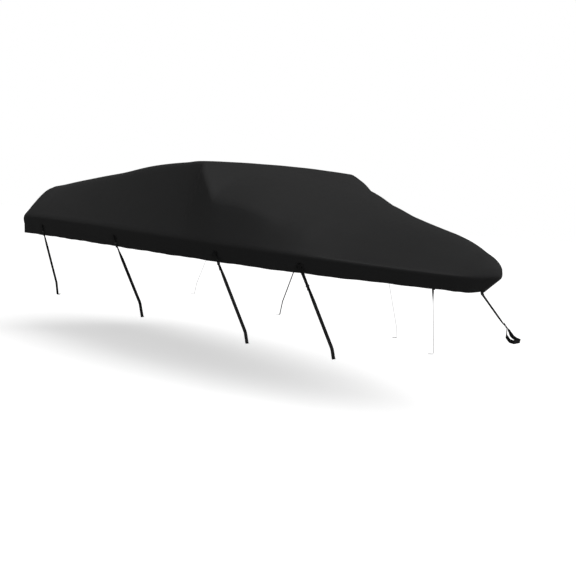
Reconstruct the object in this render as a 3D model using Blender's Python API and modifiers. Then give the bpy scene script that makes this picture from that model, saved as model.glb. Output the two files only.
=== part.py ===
"""Fitted boat cover, drawn tight over a raised ridge, with webbing ties along both sides.

Metres, +X towards the nose of the cover, +Y to its left, +Z up. The origin lies just under the
cloth at the middle of the raised ridge, the place that carries the cover.

"Along" is measured forward from the tail. "Across" is a share of the half width, from -1 on the
right to 1 on the left. Heights in the tables are measured from the edge crease at the tail.
"""

import math

import bmesh
import bpy
import numpy as np
from mathutils import Matrix, Vector
from mathutils.bvhtree import BVHTree

# Driving dimensions of the plan, which is the line of the edge crease seen from above.
LENGTH = 5.19
HALF_WIDTH = 1.04
TAIL_HALF_WIDTH = 1.003
WIDEST_ALONG = 1.86
SIDE_FULLNESS = 1.84  # how far forward the sides stay wide
NOSE_BLUNTNESS = 1.37  # 1 is a pointed nose
SIDES_MEET = 5.18  # where the sides would meet without the rounded tip
NOSE_CAP = 0.16  # length of the rounded tip of the nose
NOSE_CAP_POWER = 1.4  # 1 is a pointed tip, 2 is a round one
CAP_REACH = 1.0  # how far aft the rows of the cloth still bend like the tip
TAIL_CORNER = 0.008
TAIL_CORNER_REACH = 0.06

# The edge crease is nearly level. It falls a little forward, and lifts again round the nose.
CREASE_RISE = 0.02
CREASE_FALL = 0.146
NOSE_LIFT = 0.030
NOSE_LIFT_START = 5.00

# Sections of the top, tail to nose: where the shoulder lies, its height over the crease, how much
# higher the middle is, how flat the curve to the middle stays, and how far the side bulges. The
# fifth row is the ridge, and the eighth is the foot of its steep ends.
SECTION_COLUMNS = ("along", "shoulder", "height", "crown", "fullness", "bulge")
SECTIONS = (
    (0.00, 0.76, 0.280, 0.030, 2.0, 0.032),
    (0.30, 0.73, 0.318, 0.028, 2.0, 0.028),
    (1.40, 0.74, 0.446, 0.031, 2.0, 0.010),
    (2.40, 0.76, 0.568, 0.028, 2.0, 0.000),
    (2.78, 0.80, 0.590, 0.022, 2.0, 0.000),
    (2.88, 0.87, 0.530, 0.069, 3.0, 0.000),
    (3.00, 0.92, 0.425, 0.153, 3.2, 0.000),
    (3.12, 0.95, 0.310, 0.244, 3.3, 0.000),
    (3.30, 0.93, 0.298, 0.232, 3.2, 0.000),
    (3.55, 0.92, 0.250, 0.242, 2.4, 0.000),
    (3.72, 0.90, 0.200, 0.262, 2.1, 0.000),
    (3.90, 0.86, 0.180, 0.240, 1.9, 0.000),
    (4.00, 0.80, 0.172, 0.229, 1.9, 0.000),
    (4.25, 0.71, 0.151, 0.184, 2.0, 0.000),
    (4.70, 0.62, 0.149, 0.108, 2.0, 0.000),
    (5.00, 0.52, 0.160, 0.064, 2.0, 0.000),
)
RIDGE_ALONG = 2.76
SHOULDER_ROUNDING = 0.06
TAIL_SLOPE = 0.10  # length of the short slope down to the tail's edge
NOSE_ROUNDING = 0.52  # length over which the top rounds down to the nose
NOSE_FULLNESS = 2.0  # 2 is a round nose, and more is fuller

# Wide, shallow troughs where the taut cloth sinks between what carries it.
FOLD_COLUMNS = ("from_along", "from_across", "to_along", "to_across", "depth", "half_width")
FOLDS = (
    (0.35, 0.88, 2.40, 0.92, 0.008, 0.10),
    (0.60, 0.35, 2.20, 0.30, 0.010, 0.30),
    (3.05, 0.55, 4.00, 0.45, 0.008, 0.16),
    (3.25, 0.93, 4.30, 0.88, 0.006, 0.08),
)

# Skirt: how far it falls below the crease, and how far its hem is drawn in under it.
SKIRT_COLUMNS = ("along", "drop", "tuck")
SKIRT = (
    (0.00, 0.182, 0.010),
    (0.22, 0.182, 0.053),
    (0.60, 0.180, 0.063),
    (2.60, 0.160, 0.063),
    (3.60, 0.147, 0.064),
    (4.40, 0.127, 0.066),
    (4.65, 0.119, 0.070),
    (5.03, 0.114, 0.104),
    (5.12, 0.123, 0.134),
    (5.19, 0.122, 0.160),
)
NOSE_CENTRE = 4.60  # the nose's hem is drawn in towards this place on the middle line
NOSE_BLEND = 0.45
SKIRT_LEVELS = (0.08, 0.36, 0.64, 0.87, 1.0)  # shares of the drop
CREASE_LEVEL = SKIRT_LEVELS[0]
HEM_PLIES = 2.2  # the turned hem against the single cloth
HEM_SCALLOPS = ((0.55, 0.003, 0.0), (0.21, 0.002, 1.0))  # pitch, lift, phase

CLOTH_THICKNESS = 0.002

# Rows and columns of the cloth: spans along with how many rows each takes, and shares across.
ROW_COLUMNS = ("start", "end", "rows")
ROWS = (
    (0.00, 0.12, 4),
    (0.12, 0.40, 3),
    (0.40, 2.40, 9),
    (2.40, 3.20, 11),
    (3.20, 4.60, 9),
    (4.60, 4.94, 5),
    (4.94, LENGTH - NOSE_CAP, 3),
)
HALF_COLUMNS = (0.12, 0.24, 0.35, 0.44, 0.51, 0.56, 0.60, 0.65, 0.72, 0.81, 0.90, 1.0)
SHOULDER_COLUMN = 0.60  # this column follows the shoulder

# Webbing, and the gaps that keep one piece clear of the next.
WEB_WIDTH = 0.025
WEB_THICKNESS = 0.0016
PIECE_GAP = 0.0008
CLOSE_GAP = 0.0006
BAR_LENGTH = 0.070
BAR_RISE = 0.0045  # how far the bar's middle stands off the skirt
BAR_COLUMNS = ("share", "rise")
BAR_SHAPE = (
    (-0.50, 0.0),
    (-0.30, 0.0),
    (-0.22, 0.55),
    (-0.14, 1.0),
    (0.14, 1.0),
    (0.22, 0.55),
    (0.30, 0.0),
    (0.50, 0.0),
)

# Side ties, tail to nose: the bar's place along and down the skirt, the slide's distance below
# the bar, the free tail past the slide, the place where the straight run of the tie ends, how far
# the tie's end hangs below it, and how far the run turns about its own line, in degrees.
TIE_COLUMNS = (
    "bar_along",
    "bar_drop",
    "slide_down",
    "tail",
    "foot_along",
    "foot_side",
    "foot_height",
    "foot_drop",
    "twist",
)
TIES = (
    (0.42, 0.55, 0.045, 0.030, 0.380, 0.800, -0.630, 0.120, 30),
    (1.875, 0.55, 0.045, 0.030, 1.926, 0.762, -0.648, 0.125, 58),
    (3.175, 0.60, 0.078, 0.045, 3.475, 0.762, -0.680, 0.085, 44),
    (3.945, 0.60, 0.150, 0.022, 4.156, 0.502, -0.710, 0.075, 36),
)
TURN_REACH = 0.004  # how far above the bar's edge a tie turns back
PARTING_REACH = 0.003  # how far below it the two plies still stand apart
TAIL_SHAPE = ((1.0, 0.009), (0.8, 0.0045), (0.45, 0.0012))  # share of the free tail, rise
HEM_CLEARANCE = 0.008  # how far past the hem a tie turns towards its foot
TWIST_REACH = 0.3  # share of the straight run over which a tie twists
FOOT_LEAN = 0.5  # how much of the tie's slant the hanging end keeps
FOOT_TURN = 0.040  # the last of the tie, which is folded in towards the middle
FOOT_CORNERS = (0.012, 0.008)  # radii of the bends above and below the hanging end

# Slides: flat rings of moulded plastic, a little larger inside than the two plies they hold.
SLIDE_WALL = 0.0020
SLIDE_HEIGHT = 0.012
SLIDE_ROOM = 0.0008
PLY_GAP = 0.0006  # between the two plies of a tie where the slide holds them

# The gathered tab under the nose: half widths down its length, from the skirt past the hem, where
# it turns out and hangs along the pull of its tie.
TAB_SIDE = 0.010
TAB_COLUMNS = ("down", "stand_off", "half_width")
TAB = (
    (-0.020, 0.0026, 0.019),
    (-0.006, 0.0026, 0.017),
    (0.003, 0.0042, 0.0145),
    (0.006, 0.0120, 0.0135),
    (0.008, 0.0230, 0.0135),
)
TAB_THICKNESS = 0.0015

# The nose tie, from the tab to the loop at its end: places from the tail and the crease height,
# and the direction of the web's width there. The loop at its end stands open.
NOSE_TIE_COLUMNS = ("along", "side", "height", "width_x", "width_y", "width_z")
NOSE_TIE = (
    (5.267, -0.003, -0.426, -0.50, 0.71, -0.50),
    (5.281, -0.014, -0.447, -0.45, 0.40, -0.75),
    (5.293, -0.027, -0.474, -0.27, 0.00, -0.96),
    (5.324, -0.029, -0.499, -0.10, 0.00, -0.99),
    (5.360, -0.027, -0.502, -0.15, 0.00, -0.99),
    (5.364, 0.027, -0.495, -0.15, 0.00, -0.99),
    (5.326, 0.029, -0.489, -0.10, 0.00, -0.99),
    (5.293, 0.027, -0.474, -0.27, 0.00, -0.96),
    (5.282, 0.012, -0.444, -0.45, 0.40, -0.75),
    (5.269, 0.000, -0.421, -0.50, 0.71, -0.50),
    (5.243, -0.002, -0.395, -0.50, 0.71, -0.50),
)
NOSE_CORNER = 0.006  # radius at the corners of the loop


# Curves through the tables --------------------------------------------------------------------


def column(table, names, name):
    return np.array([row[names.index(name)] for row in table])


def smooth(xs, ys, x):
    """The monotone cubic through the points, which never swings past them."""
    xs, ys = np.asarray(xs, float), np.asarray(ys, float)
    step, rise = np.diff(xs), np.diff(ys) / np.diff(xs)
    slope = np.zeros(len(xs))
    slope[0], slope[-1] = rise[0], rise[-1]
    for i in range(1, len(xs) - 1):
        if rise[i - 1] * rise[i] > 0:
            before, after = 2 * step[i] + step[i - 1], step[i] + 2 * step[i - 1]
            slope[i] = (before + after) / (before / rise[i - 1] + after / rise[i])
    x = min(max(x, xs[0]), xs[-1])
    i = min(int(np.searchsorted(xs, x, side="right")) - 1, len(xs) - 2)
    t = (x - xs[i]) / step[i]
    return (
        ys[i] * (1 + 2 * t) * (1 - t) ** 2
        + slope[i] * step[i] * t * (1 - t) ** 2
        + ys[i + 1] * t * t * (3 - 2 * t)
        + slope[i + 1] * step[i] * t * t * (t - 1)
    )


def section(name, along):
    return smooth(
        column(SECTIONS, SECTION_COLUMNS, "along"), column(SECTIONS, SECTION_COLUMNS, name), along
    )


def skirt(name, along):
    return smooth(column(SKIRT, SKIRT_COLUMNS, "along"), column(SKIRT, SKIRT_COLUMNS, name), along)


def soft_min(a, b, rounding):
    overlap = max(rounding - abs(a - b), 0) / rounding
    return min(a, b) - overlap * overlap * rounding / 4


# The cloth's surface --------------------------------------------------------------------------


def half_width(along):
    if along > WIDEST_ALONG:
        reach = min((along - WIDEST_ALONG) / (SIDES_MEET - WIDEST_ALONG), 1.0)
        return HALF_WIDTH * (1 - reach**SIDE_FULLNESS) ** (1 / NOSE_BLUNTNESS)
    aft = (WIDEST_ALONG - along) / WIDEST_ALONG
    corner = max(1 - along / TAIL_CORNER_REACH, 0.0)
    return HALF_WIDTH - (HALF_WIDTH - TAIL_HALF_WIDTH) * aft**2 - TAIL_CORNER * corner**2


def crease_height(along):
    share = along / LENGTH
    lift = max((along - NOSE_LIFT_START) / (LENGTH - NOSE_LIFT_START), 0.0)
    return CREASE_RISE * share - CREASE_FALL * share**2 + NOSE_LIFT * lift**1.5


def height_over_crease(along, across):
    """Height of the top over the edge crease: a sloping side, a round shoulder and a low crown."""
    shoulder, height, crown, fullness, bulge = (
        section(name, along) for name in SECTION_COLUMNS[1:]
    )
    out = abs(across)
    share = (1 - out) / (1 - shoulder)
    side = height * share + 4 * bulge * share * max(1 - share, 0.0)
    top = height + crown * (1 - (out / shoulder) ** fullness)
    body = max(soft_min(side, top, SHOULDER_ROUNDING), 0.0)
    tail = min(along / TAIL_SLOPE, 1.0)
    nose_start = LENGTH - NOSE_ROUNDING
    nose_end = LENGTH - NOSE_CAP * out**NOSE_CAP_POWER
    nose = max((along - nose_start) / (nose_end - nose_start), 0.0)
    return body * math.sqrt(1 - (1 - tail) ** 2) * math.sqrt(max(1 - min(nose, 1.0) ** NOSE_FULLNESS, 0.0))


def fold_depth(along, across):
    """How far the troughs on both sides lower the top at this place."""
    depth = 0.0
    here = np.array((along, abs(across) * half_width(along)))
    for row in FOLDS:
        fold = dict(zip(FOLD_COLUMNS, row))
        start = np.array((fold["from_along"], fold["from_across"] * half_width(fold["from_along"])))
        end = np.array((fold["to_along"], fold["to_across"] * half_width(fold["to_along"])))
        run = end - start
        share = min(max(float((here - start) @ run / (run @ run)), 0.0), 1.0)
        off = float(np.linalg.norm(here - start - share * run)) / fold["half_width"]
        depth += fold["depth"] * math.exp(-off * off) * math.sin(math.pi * (0.1 + 0.8 * share))
    return depth


MOUNT_HEIGHT = (
    crease_height(RIDGE_ALONG) + height_over_crease(RIDGE_ALONG, 0.0) - CLOTH_THICKNESS - PIECE_GAP
)


def in_frame(along, side, height):
    return Vector((along - RIDGE_ALONG, side, height - MOUNT_HEIGHT))


def top_point(row_along, across):
    """A point of the top. The rows bow round the tail's corners and round the nose."""
    tip = max((row_along - (LENGTH - NOSE_CAP - CAP_REACH)) / CAP_REACH, 0.0) ** 2
    corner = max(1 - row_along / TAIL_CORNER_REACH, 0.0)
    along = row_along + NOSE_CAP * tip * (1 - abs(across) ** NOSE_CAP_POWER)
    along += TAIL_CORNER * corner * across**12
    rise = height_over_crease(along, across)
    edge_share = min(rise / 0.05, 1.0)
    rise -= fold_depth(along, across) * edge_share
    return in_frame(along, across * half_width(row_along), crease_height(along) + rise)


def across_at(along, share):
    """Where a column of the cloth lies: its middle columns spread or close up with the shoulder."""
    shoulder = section("shoulder", along)
    if abs(share) <= SHOULDER_COLUMN:
        return shoulder * share / SHOULDER_COLUMN
    past = (abs(share) - SHOULDER_COLUMN) / (1 - SHOULDER_COLUMN)
    return math.copysign(shoulder + (1 - shoulder) * past, share)


def spans(table):
    places = [table[0][0]]
    for start, end, rows in table:
        places += [start + (end - start) * (i + 1) / rows for i in range(rows)]
    return places


def skirt_point(edge, outward, level, arc):
    """A point of the skirt under a point of the edge crease, drawn in along the outward normal.

    Round the nose it is drawn in towards one point, so that the hem keeps the nose's outline.
    """
    along = edge.x + RIDGE_ALONG
    ahead = Vector((along - NOSE_CENTRE, edge.y, 0)).normalized()
    outward = outward.lerp(ahead, min(max((along - NOSE_CENTRE) / NOSE_BLEND, 0.0), 1.0)).normalized()
    lowered = skirt("drop", along) * level
    drawn_in = skirt("tuck", along) * max(level - CREASE_LEVEL, 0.0) / (1 - CREASE_LEVEL)
    lift = sum(
        size * (0.5 + 0.5 * math.sin(2 * math.pi * arc / pitch + phase))
        for pitch, size, phase in HEM_SCALLOPS
    )
    return edge - outward * drawn_in - Vector((0, 0, lowered - lift * level**4))


def cloth_surface():
    """The outer surface of the cover, open at the hem: a grid for the top, and rings for the skirt."""
    along = spans(ROWS)
    across = [-x for x in reversed(HALF_COLUMNS)] + [0.0] + list(HALF_COLUMNS)
    mesh = bmesh.new()
    grid = [[mesh.verts.new(top_point(a, across_at(a, c))) for c in across] for a in along]
    for near, far in zip(grid, grid[1:]):
        for i in range(len(across) - 1):
            mesh.faces.new((near[i], far[i], far[i + 1], near[i + 1]))
    right = [row[0] for row in grid]
    left = [row[-1] for row in reversed(grid)]
    edge = right[:-1] + grid[-1][:-1] + left[:-1] + list(reversed(grid[0]))[:-1]
    count = len(edge)
    rings = [edge]
    outward, arc = [], [0.0]
    for i in range(count):
        run = edge[(i + 1) % count].co - edge[i - 1].co
        outward.append(Vector((run.y, -run.x, 0)).normalized())
        arc.append(arc[-1] + (edge[(i + 1) % count].co - edge[i].co).length)
    for level in SKIRT_LEVELS:
        rings.append(
            [mesh.verts.new(skirt_point(edge[i].co, outward[i], level, arc[i])) for i in range(count)]
        )
    for upper, lower in zip(rings, rings[1:]):
        for i in range(count):
            j = (i + 1) % count
            mesh.faces.new((upper[i], lower[i], lower[j], upper[j]))
    bmesh.ops.recalc_face_normals(mesh, faces=mesh.faces)
    top_face = max(mesh.faces, key=lambda face: face.calc_center_median().z)
    if top_face.normal.z < 0:
        bmesh.ops.reverse_faces(mesh, faces=mesh.faces)
    mesh.verts.index_update()
    hem = [v.index for v in rings[-1]] + [v.index for v in rings[-2]]
    return mesh, hem


# Blender objects ------------------------------------------------------------------------------


def material(name, colour, roughness, metallic=0.0):
    made = bpy.data.materials.new(name)
    made.use_nodes = True
    shader = made.node_tree.nodes["Principled BSDF"]
    shader.inputs["Base Color"].default_value = (*colour, 1.0)
    shader.inputs["Roughness"].default_value = roughness
    shader.inputs["Metallic"].default_value = metallic
    return made


def add_object(name, data, finish):
    made = bpy.data.objects.new(name, data)
    data.materials.append(finish)
    COVER.objects.link(made)
    return made


def add_cover_cloth(finish):
    """The whole cover, one cloth. Its hem is the same cloth turned up, so it is thicker."""
    surface, hem = cloth_surface()
    outside = BVHTree.FromBMesh(surface)
    data = bpy.data.meshes.new("cover_cloth")
    surface.to_mesh(data)
    surface.free()
    data.shade_smooth()
    cloth = add_object("cover_cloth", data, finish)
    plies = cloth.vertex_groups.new(name="plies")
    plies.add(list(range(len(data.vertices))), 1 / HEM_PLIES, "REPLACE")
    plies.add(hem, 1.0, "REPLACE")
    shell = cloth.modifiers.new("thickness", "SOLIDIFY")
    shell.thickness = CLOTH_THICKNESS * HEM_PLIES
    shell.offset = -1
    shell.use_even_offset = True
    shell.vertex_group = plies.name
    return outside


def carried(points, first_across):
    """The direction across a web at each point of its route, turned as little as the bends need."""
    across, result = first_across.normalized(), []
    for i in range(len(points)):
        run = (points[min(i + 1, len(points) - 1)] - points[max(i - 1, 0)]).normalized()
        across = (across - run * across.dot(run)).normalized()
        result.append(across.copy())
    return result


def add_web(name, points, across, finish):
    """Flat webbing along a route: an open ribbon, thickened about its middle."""
    mesh = bmesh.new()
    pairs = []
    for point, direction in zip(points, across):
        reach = direction * (WEB_WIDTH / 2)
        pairs.append((mesh.verts.new(point - reach), mesh.verts.new(point + reach)))
    for (a, b), (c, d) in zip(pairs, pairs[1:]):
        mesh.faces.new((a, b, d, c))
    data = bpy.data.meshes.new(name)
    mesh.to_mesh(data)
    mesh.free()
    web = add_object(name, data, finish)
    shell = web.modifiers.new("thickness", "SOLIDIFY")
    shell.thickness = WEB_THICKNESS
    shell.offset = 0
    shell.use_even_offset = True
    return web


def skirt_frame(cloth, along, level, side):
    """A place on the skirt and its axes: forward, outward and down the cloth."""
    edge = in_frame(along, side * half_width(along), crease_height(along))
    ahead = in_frame(along + 0.01, side * half_width(along + 0.01), crease_height(along + 0.01))
    run = ahead - edge
    outward = Vector((run.y, -run.x, 0)).normalized() * -side
    low = skirt_point(edge, outward, level, 0.0)
    spot, normal, _, _ = cloth.find_nearest(low)
    forward = (run - normal * run.dot(normal)).normalized()
    down = normal.cross(forward)
    if down.z > 0:
        down.negate()
    return spot, forward, normal, down


def add_bar(name, cloth, spot, forward, outward, down, finish):
    """A level webbing bar, flat on the skirt at its two sewn ends and standing off it between."""
    resting = WEB_THICKNESS / 2 + PIECE_GAP
    points = []
    for share, stand in BAR_SHAPE:
        base, normal, _, _ = cloth.find_nearest(spot + forward * (BAR_LENGTH * share))
        points.append(base + outward * (resting + BAR_RISE * stand))
    add_web(name, points, carried(points, down), finish)


def add_side_tie(name, slide_name, tie, cloth, side, web_finish, slide_finish):
    """A tie that goes up behind its bar, over it and back down through the slide."""
    spot, _, outward, _ = skirt_frame(cloth, tie["bar_along"], tie["bar_drop"], side)
    foot = in_frame(tie["foot_along"], side * tie["foot_side"], tie["foot_height"])
    slant = foot - spot
    down = (slant - outward * slant.dot(outward)).normalized()
    across = outward.cross(down).normalized()
    # The pull of the tie has drawn its bar square to it.
    add_bar(name.replace("tie", "bar"), cloth, spot, across, outward, down, web_finish)
    middle = WEB_THICKNESS / 2 + PIECE_GAP + BAR_RISE
    reach = middle - WEB_THICKNESS / 2 - CLOSE_GAP
    top = -(WEB_WIDTH / 2 + TURN_REACH)
    bottom = WEB_WIDTH / 2 + PARTING_REACH
    below = spot + down * bottom + outward * middle
    # Below the bar the two plies close up to the slide. They run straight for the foot, or down
    # the skirt as far as the hem where that is in the way.
    run = (foot - below).normalized()
    over_hem = run.dot(outward) < 0
    if over_hem:
        run = down
    off = run.cross(across).normalized()
    if off.dot(outward) < 0:
        off.negate()
    half_gap = (WEB_THICKNESS + PLY_GAP) / 2

    def at_bar(distance, stand):
        return spot + down * distance + outward * (middle + stand)

    def at_slide(distance, stand):
        return below + run * (distance - bottom) + off * stand

    start = tie["slide_down"] - SLIDE_HEIGHT * 0.6
    end = tie["slide_down"] + SLIDE_HEIGHT * 0.6
    points = [at_slide(end + tie["tail"] * share, half_gap + rise) for share, rise in TAIL_SHAPE]
    points += [
        at_slide(end, half_gap),
        at_slide(start, half_gap),
        at_bar(bottom, reach),
        at_bar(top, reach),
    ]
    turn = Matrix.Rotation(math.pi / 6, 3, across)
    if (turn @ outward).dot(down) > 0:
        turn.transpose()
    stand = outward * reach
    for _ in range(5):
        stand = turn @ stand
        points.append(at_bar(top, 0.0) + stand)
    points += [
        at_bar(top, -reach),
        at_bar(bottom, -reach),
        at_slide(start, -half_gap),
        at_slide(end, -half_gap),
    ]
    if over_hem:
        hem = skirt_frame(cloth, tie["bar_along"], 1.0, side)[0]
        hem_run = (hem - spot).length + HEM_CLEARANCE
        if hem_run > end + WEB_THICKNESS:
            points.append(at_slide(hem_run, -half_gap))
    last = points[-1]
    first_turned = len(points)
    points += [last.lerp(foot, share / 8) for share in range(1, 8)]
    slant = (foot - last).normalized()
    hanging = (slant * FOOT_LEAN - Vector((0, 0, 1 - FOOT_LEAN))).normalized()
    low = foot + hanging * tie["foot_drop"]
    points += bend(last, foot, low, FOOT_CORNERS[0])
    widths = carried(points, across)
    for i in range(first_turned, len(points)):
        share = min((points[i] - last).length / (foot - last).length / TWIST_REACH, 1.0)
        angle = side * math.radians(tie["twist"]) * share * share * (3 - 2 * share)
        widths[i] = Matrix.Rotation(angle, 3, slant) @ widths[i]
    # The end is folded towards the middle, square to the web's own width.
    width = (widths[-1] - hanging * widths[-1].dot(hanging)).normalized()
    inward = hanging.cross(width)
    if inward.y * side > 0:
        inward.negate()
    end_point = low + inward * FOOT_TURN
    fold = bend(foot, low, end_point, FOOT_CORNERS[1]) + [end_point]
    add_web(name, points + fold, widths + [width] * len(fold), web_finish)
    add_slide(slide_name, at_slide(tie["slide_down"], 0.0), across, off, slide_finish)


def bend(before, corner, after, radius):
    """Points of a small rounded bend at a corner of a route."""
    back, on = (before - corner).normalized(), (after - corner).normalized()
    start, end = corner + back * radius, corner + on * radius
    return [
        start.lerp(corner, t).lerp(corner.lerp(end, t), t) for t in (0.0, 0.33, 0.67, 1.0)
    ]


def route_with_bends(places, widths, radius):
    """A route with small rounded bends at its corners, and the web's width direction along it."""
    points, across = [places[0]], [widths[0]]
    for i in range(1, len(places) - 1):
        corner = bend(places[i - 1], places[i], places[i + 1], radius)
        points += corner
        across += [widths[i]] * len(corner)
    return points + [places[-1]], across + [widths[-1]]


def square_to_route(points, across):
    """The width directions, made square to the route."""
    result = []
    for i, direction in enumerate(across):
        run = (points[min(i + 1, len(points) - 1)] - points[max(i - 1, 0)]).normalized()
        result.append((direction - run * direction.dot(run)).normalized())
    return result


def add_nose_pieces(cloth, web_finish, cloth_finish):
    """The gathered tab at the lowest place of the nose's hem, and the tie sewn to it."""
    tip = in_frame(LENGTH, TAB_SIDE, crease_height(LENGTH))
    low = skirt_point(tip, Vector((1, 0, 0)), 1.0, 0.0)
    high = skirt_point(tip, Vector((1, 0, 0)), 0.7, 0.0)
    down = (low - high).normalized()
    width = Vector((0, 1, 0))
    outward = width.cross(down).normalized()
    if outward.x < 0:
        outward.negate()
    mesh = bmesh.new()
    rows = []
    for row in TAB:
        place = dict(zip(TAB_COLUMNS, row))
        spots = [
            low + down * place["down"] + width * (place["half_width"] * share)
            for share in (-1, -0.4, 0.4, 1)
        ]
        if place["down"] < 0:
            spots = [cloth.find_nearest(spot)[0] for spot in spots]
        rows.append([mesh.verts.new(spot + outward * place["stand_off"]) for spot in spots])
    for near, far in zip(rows, rows[1:]):
        for i in range(3):
            mesh.faces.new((near[i], near[i + 1], far[i + 1], far[i]))
    data = bpy.data.meshes.new("nose_tab")
    mesh.to_mesh(data)
    mesh.free()
    tab = add_object("nose_tab", data, cloth_finish)
    shell = tab.modifiers.new("thickness", "SOLIDIFY")
    shell.thickness = TAB_THICKNESS
    shell.offset = 0
    shell.use_even_offset = True
    # The tie starts flat on the tab, and then twists as it runs to its loop.
    sewn = (TAB_THICKNESS + WEB_THICKNESS) / 2 + CLOSE_GAP
    places = [low + down * fall + outward * stand_off for fall, stand_off, _ in TAB[3:]]
    hanging = (places[1] - places[0]).normalized()
    off = (outward - hanging * outward.dot(hanging)).normalized()
    places = [place + off * sewn for place in places]
    widths = [width, width]
    for row in NOSE_TIE:
        place = dict(zip(NOSE_TIE_COLUMNS, row))
        places.append(in_frame(place["along"], place["side"], place["height"]))
        widths.append(Vector((place["width_x"], place["width_y"], place["width_z"])))
    straight = [places[1].lerp(places[2], share / 8) for share in range(1, 8)]
    twist = [widths[1].lerp(widths[2], share / 8) for share in range(1, 8)]
    places[2:2], widths[2:2] = straight, twist
    points, across = route_with_bends(places, widths, NOSE_CORNER)
    add_web("nose_tie", points, square_to_route(points, across), web_finish)


def rounded_rectangle(width, depth, radius, steps):
    corners = ((1, 1, 0), (-1, 1, 90), (-1, -1, 180), (1, -1, 270))
    points = []
    for right, up, start in corners:
        for i in range(steps + 1):
            angle = math.radians(start + 90 * i / steps)
            points.append(
                (
                    right * (width / 2 - radius) + radius * math.cos(angle),
                    up * (depth / 2 - radius) + radius * math.sin(angle),
                )
            )
    return points


def add_slide(name, middle, across, outward, finish):
    """A flat ring of moulded plastic round both plies of a tie."""
    width = WEB_WIDTH + 2 * SLIDE_ROOM
    depth = 2 * WEB_THICKNESS + PLY_GAP + 2 * SLIDE_ROOM
    axis = across.cross(outward) * (SLIDE_HEIGHT / 2)
    mesh = bmesh.new()
    loops = []
    for wall, radius, end in (
        (SLIDE_WALL, 0.0018, 1),
        (SLIDE_WALL, 0.0018, -1),
        (0.0, 0.0005, -1),
        (0.0, 0.0005, 1),
    ):
        outline = rounded_rectangle(width + 2 * wall, depth + 2 * wall, radius, 2)
        loops.append([mesh.verts.new(middle + across * x + outward * y + axis * end) for x, y in outline])
    for loop, following in zip(loops, loops[1:] + loops[:1]):
        for i in range(len(loop)):
            j = (i + 1) % len(loop)
            mesh.faces.new((loop[i], loop[j], following[j], following[i]))
    bmesh.ops.recalc_face_normals(mesh, faces=mesh.faces)
    data = bpy.data.meshes.new(name)
    mesh.to_mesh(data)
    mesh.free()
    add_object(name, data, finish)


# The model ------------------------------------------------------------------------------------

for old in list(bpy.data.objects):
    bpy.data.objects.remove(old)
COVER = bpy.data.collections.new("boat_cover")
bpy.context.scene.collection.children.link(COVER)

FABRIC = material("cover_fabric", (0.018, 0.018, 0.019), 0.85)
WEBBING = material("webbing", (0.012, 0.012, 0.013), 0.75)
SLIDE_PLASTIC = material("slide_plastic", (0.02, 0.02, 0.02), 0.4)

OUTSIDE = add_cover_cloth(FABRIC)
for side_name, side in (("starboard", -1), ("port", 1)):
    for number, row in enumerate(TIES, 1):
        add_side_tie(
            f"tie_{side_name}_{number}",
            f"slide_{side_name}_{number}",
            dict(zip(TIE_COLUMNS, row)),
            OUTSIDE,
            side,
            WEBBING,
            SLIDE_PLASTIC,
        )
add_nose_pieces(OUTSIDE, WEBBING, FABRIC)
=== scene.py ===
"""The looks of a fitted boat cover: its cloth and hem, the sewn bars, the ties and their slides.

Metres, in the frame of the part: +X towards the nose of the cover, +Y to its left and +Z up. The
origin lies just under the cloth at the middle of the raised ridge. "Along" is measured forward
from the tail, and "across" is a share of the half width, from -1 on the right to 1 on the left.
"""

import math

import bmesh
import bpy
import numpy as np
from mathutils import Matrix, Vector
from mathutils.bvhtree import BVHTree
from mathutils.kdtree import KDTree


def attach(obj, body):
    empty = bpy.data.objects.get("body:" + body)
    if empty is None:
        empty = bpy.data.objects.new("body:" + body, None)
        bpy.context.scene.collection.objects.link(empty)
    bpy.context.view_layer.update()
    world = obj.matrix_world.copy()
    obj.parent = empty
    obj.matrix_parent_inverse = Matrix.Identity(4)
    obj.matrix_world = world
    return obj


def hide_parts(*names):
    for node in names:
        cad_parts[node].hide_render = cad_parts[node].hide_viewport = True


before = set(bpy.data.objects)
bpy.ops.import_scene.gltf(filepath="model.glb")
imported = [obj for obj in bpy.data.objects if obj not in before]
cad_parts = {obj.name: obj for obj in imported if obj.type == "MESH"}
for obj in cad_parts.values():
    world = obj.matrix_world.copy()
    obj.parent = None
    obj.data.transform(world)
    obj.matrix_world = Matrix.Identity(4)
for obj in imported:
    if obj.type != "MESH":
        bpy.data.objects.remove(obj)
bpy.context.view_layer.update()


# The view ---------------------------------------------------------------------------------------
# The camera stands well ahead of the cover and to its right, a little lower than the ridge. It
# looks slightly down and leans a little, which gives the slope of the edge crease in the picture.

VIEW_PLACE = Vector((6.869, -5.198, -0.286))
VIEW_YAW, VIEW_PITCH, VIEW_ROLL = (math.radians(angle) for angle in (37.984, 4.75, 3.729))
VIEW_LENS, VIEW_SENSOR = 65.23, 36.0  # millimetres
VIEW_REACH = 300.0


def view_axes():
    """The camera's right, up and back directions."""
    level = Vector((-math.cos(VIEW_YAW), math.sin(VIEW_YAW), 0.0))
    ahead = level * math.cos(VIEW_PITCH) - Vector((0, 0, math.sin(VIEW_PITCH)))
    right = ahead.cross(Vector((0, 0, 1))).normalized()
    up = right.cross(ahead)
    leaning_right = right * math.cos(VIEW_ROLL) + up * math.sin(VIEW_ROLL)
    leaning_up = up * math.cos(VIEW_ROLL) - right * math.sin(VIEW_ROLL)
    return leaning_right, leaning_up, -ahead


camera_data = bpy.data.cameras.new("view")
camera_data.lens = VIEW_LENS
camera_data.sensor_width = VIEW_SENSOR
camera_data.clip_end = VIEW_REACH
camera = bpy.data.objects.new("view", camera_data)
camera.matrix_world = Matrix.Translation(VIEW_PLACE) @ Matrix(view_axes()).transposed().to_4x4()
bpy.context.scene.collection.objects.link(camera)
bpy.context.scene.camera = camera
bpy.context.scene.view_settings.view_transform = "Standard"


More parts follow.
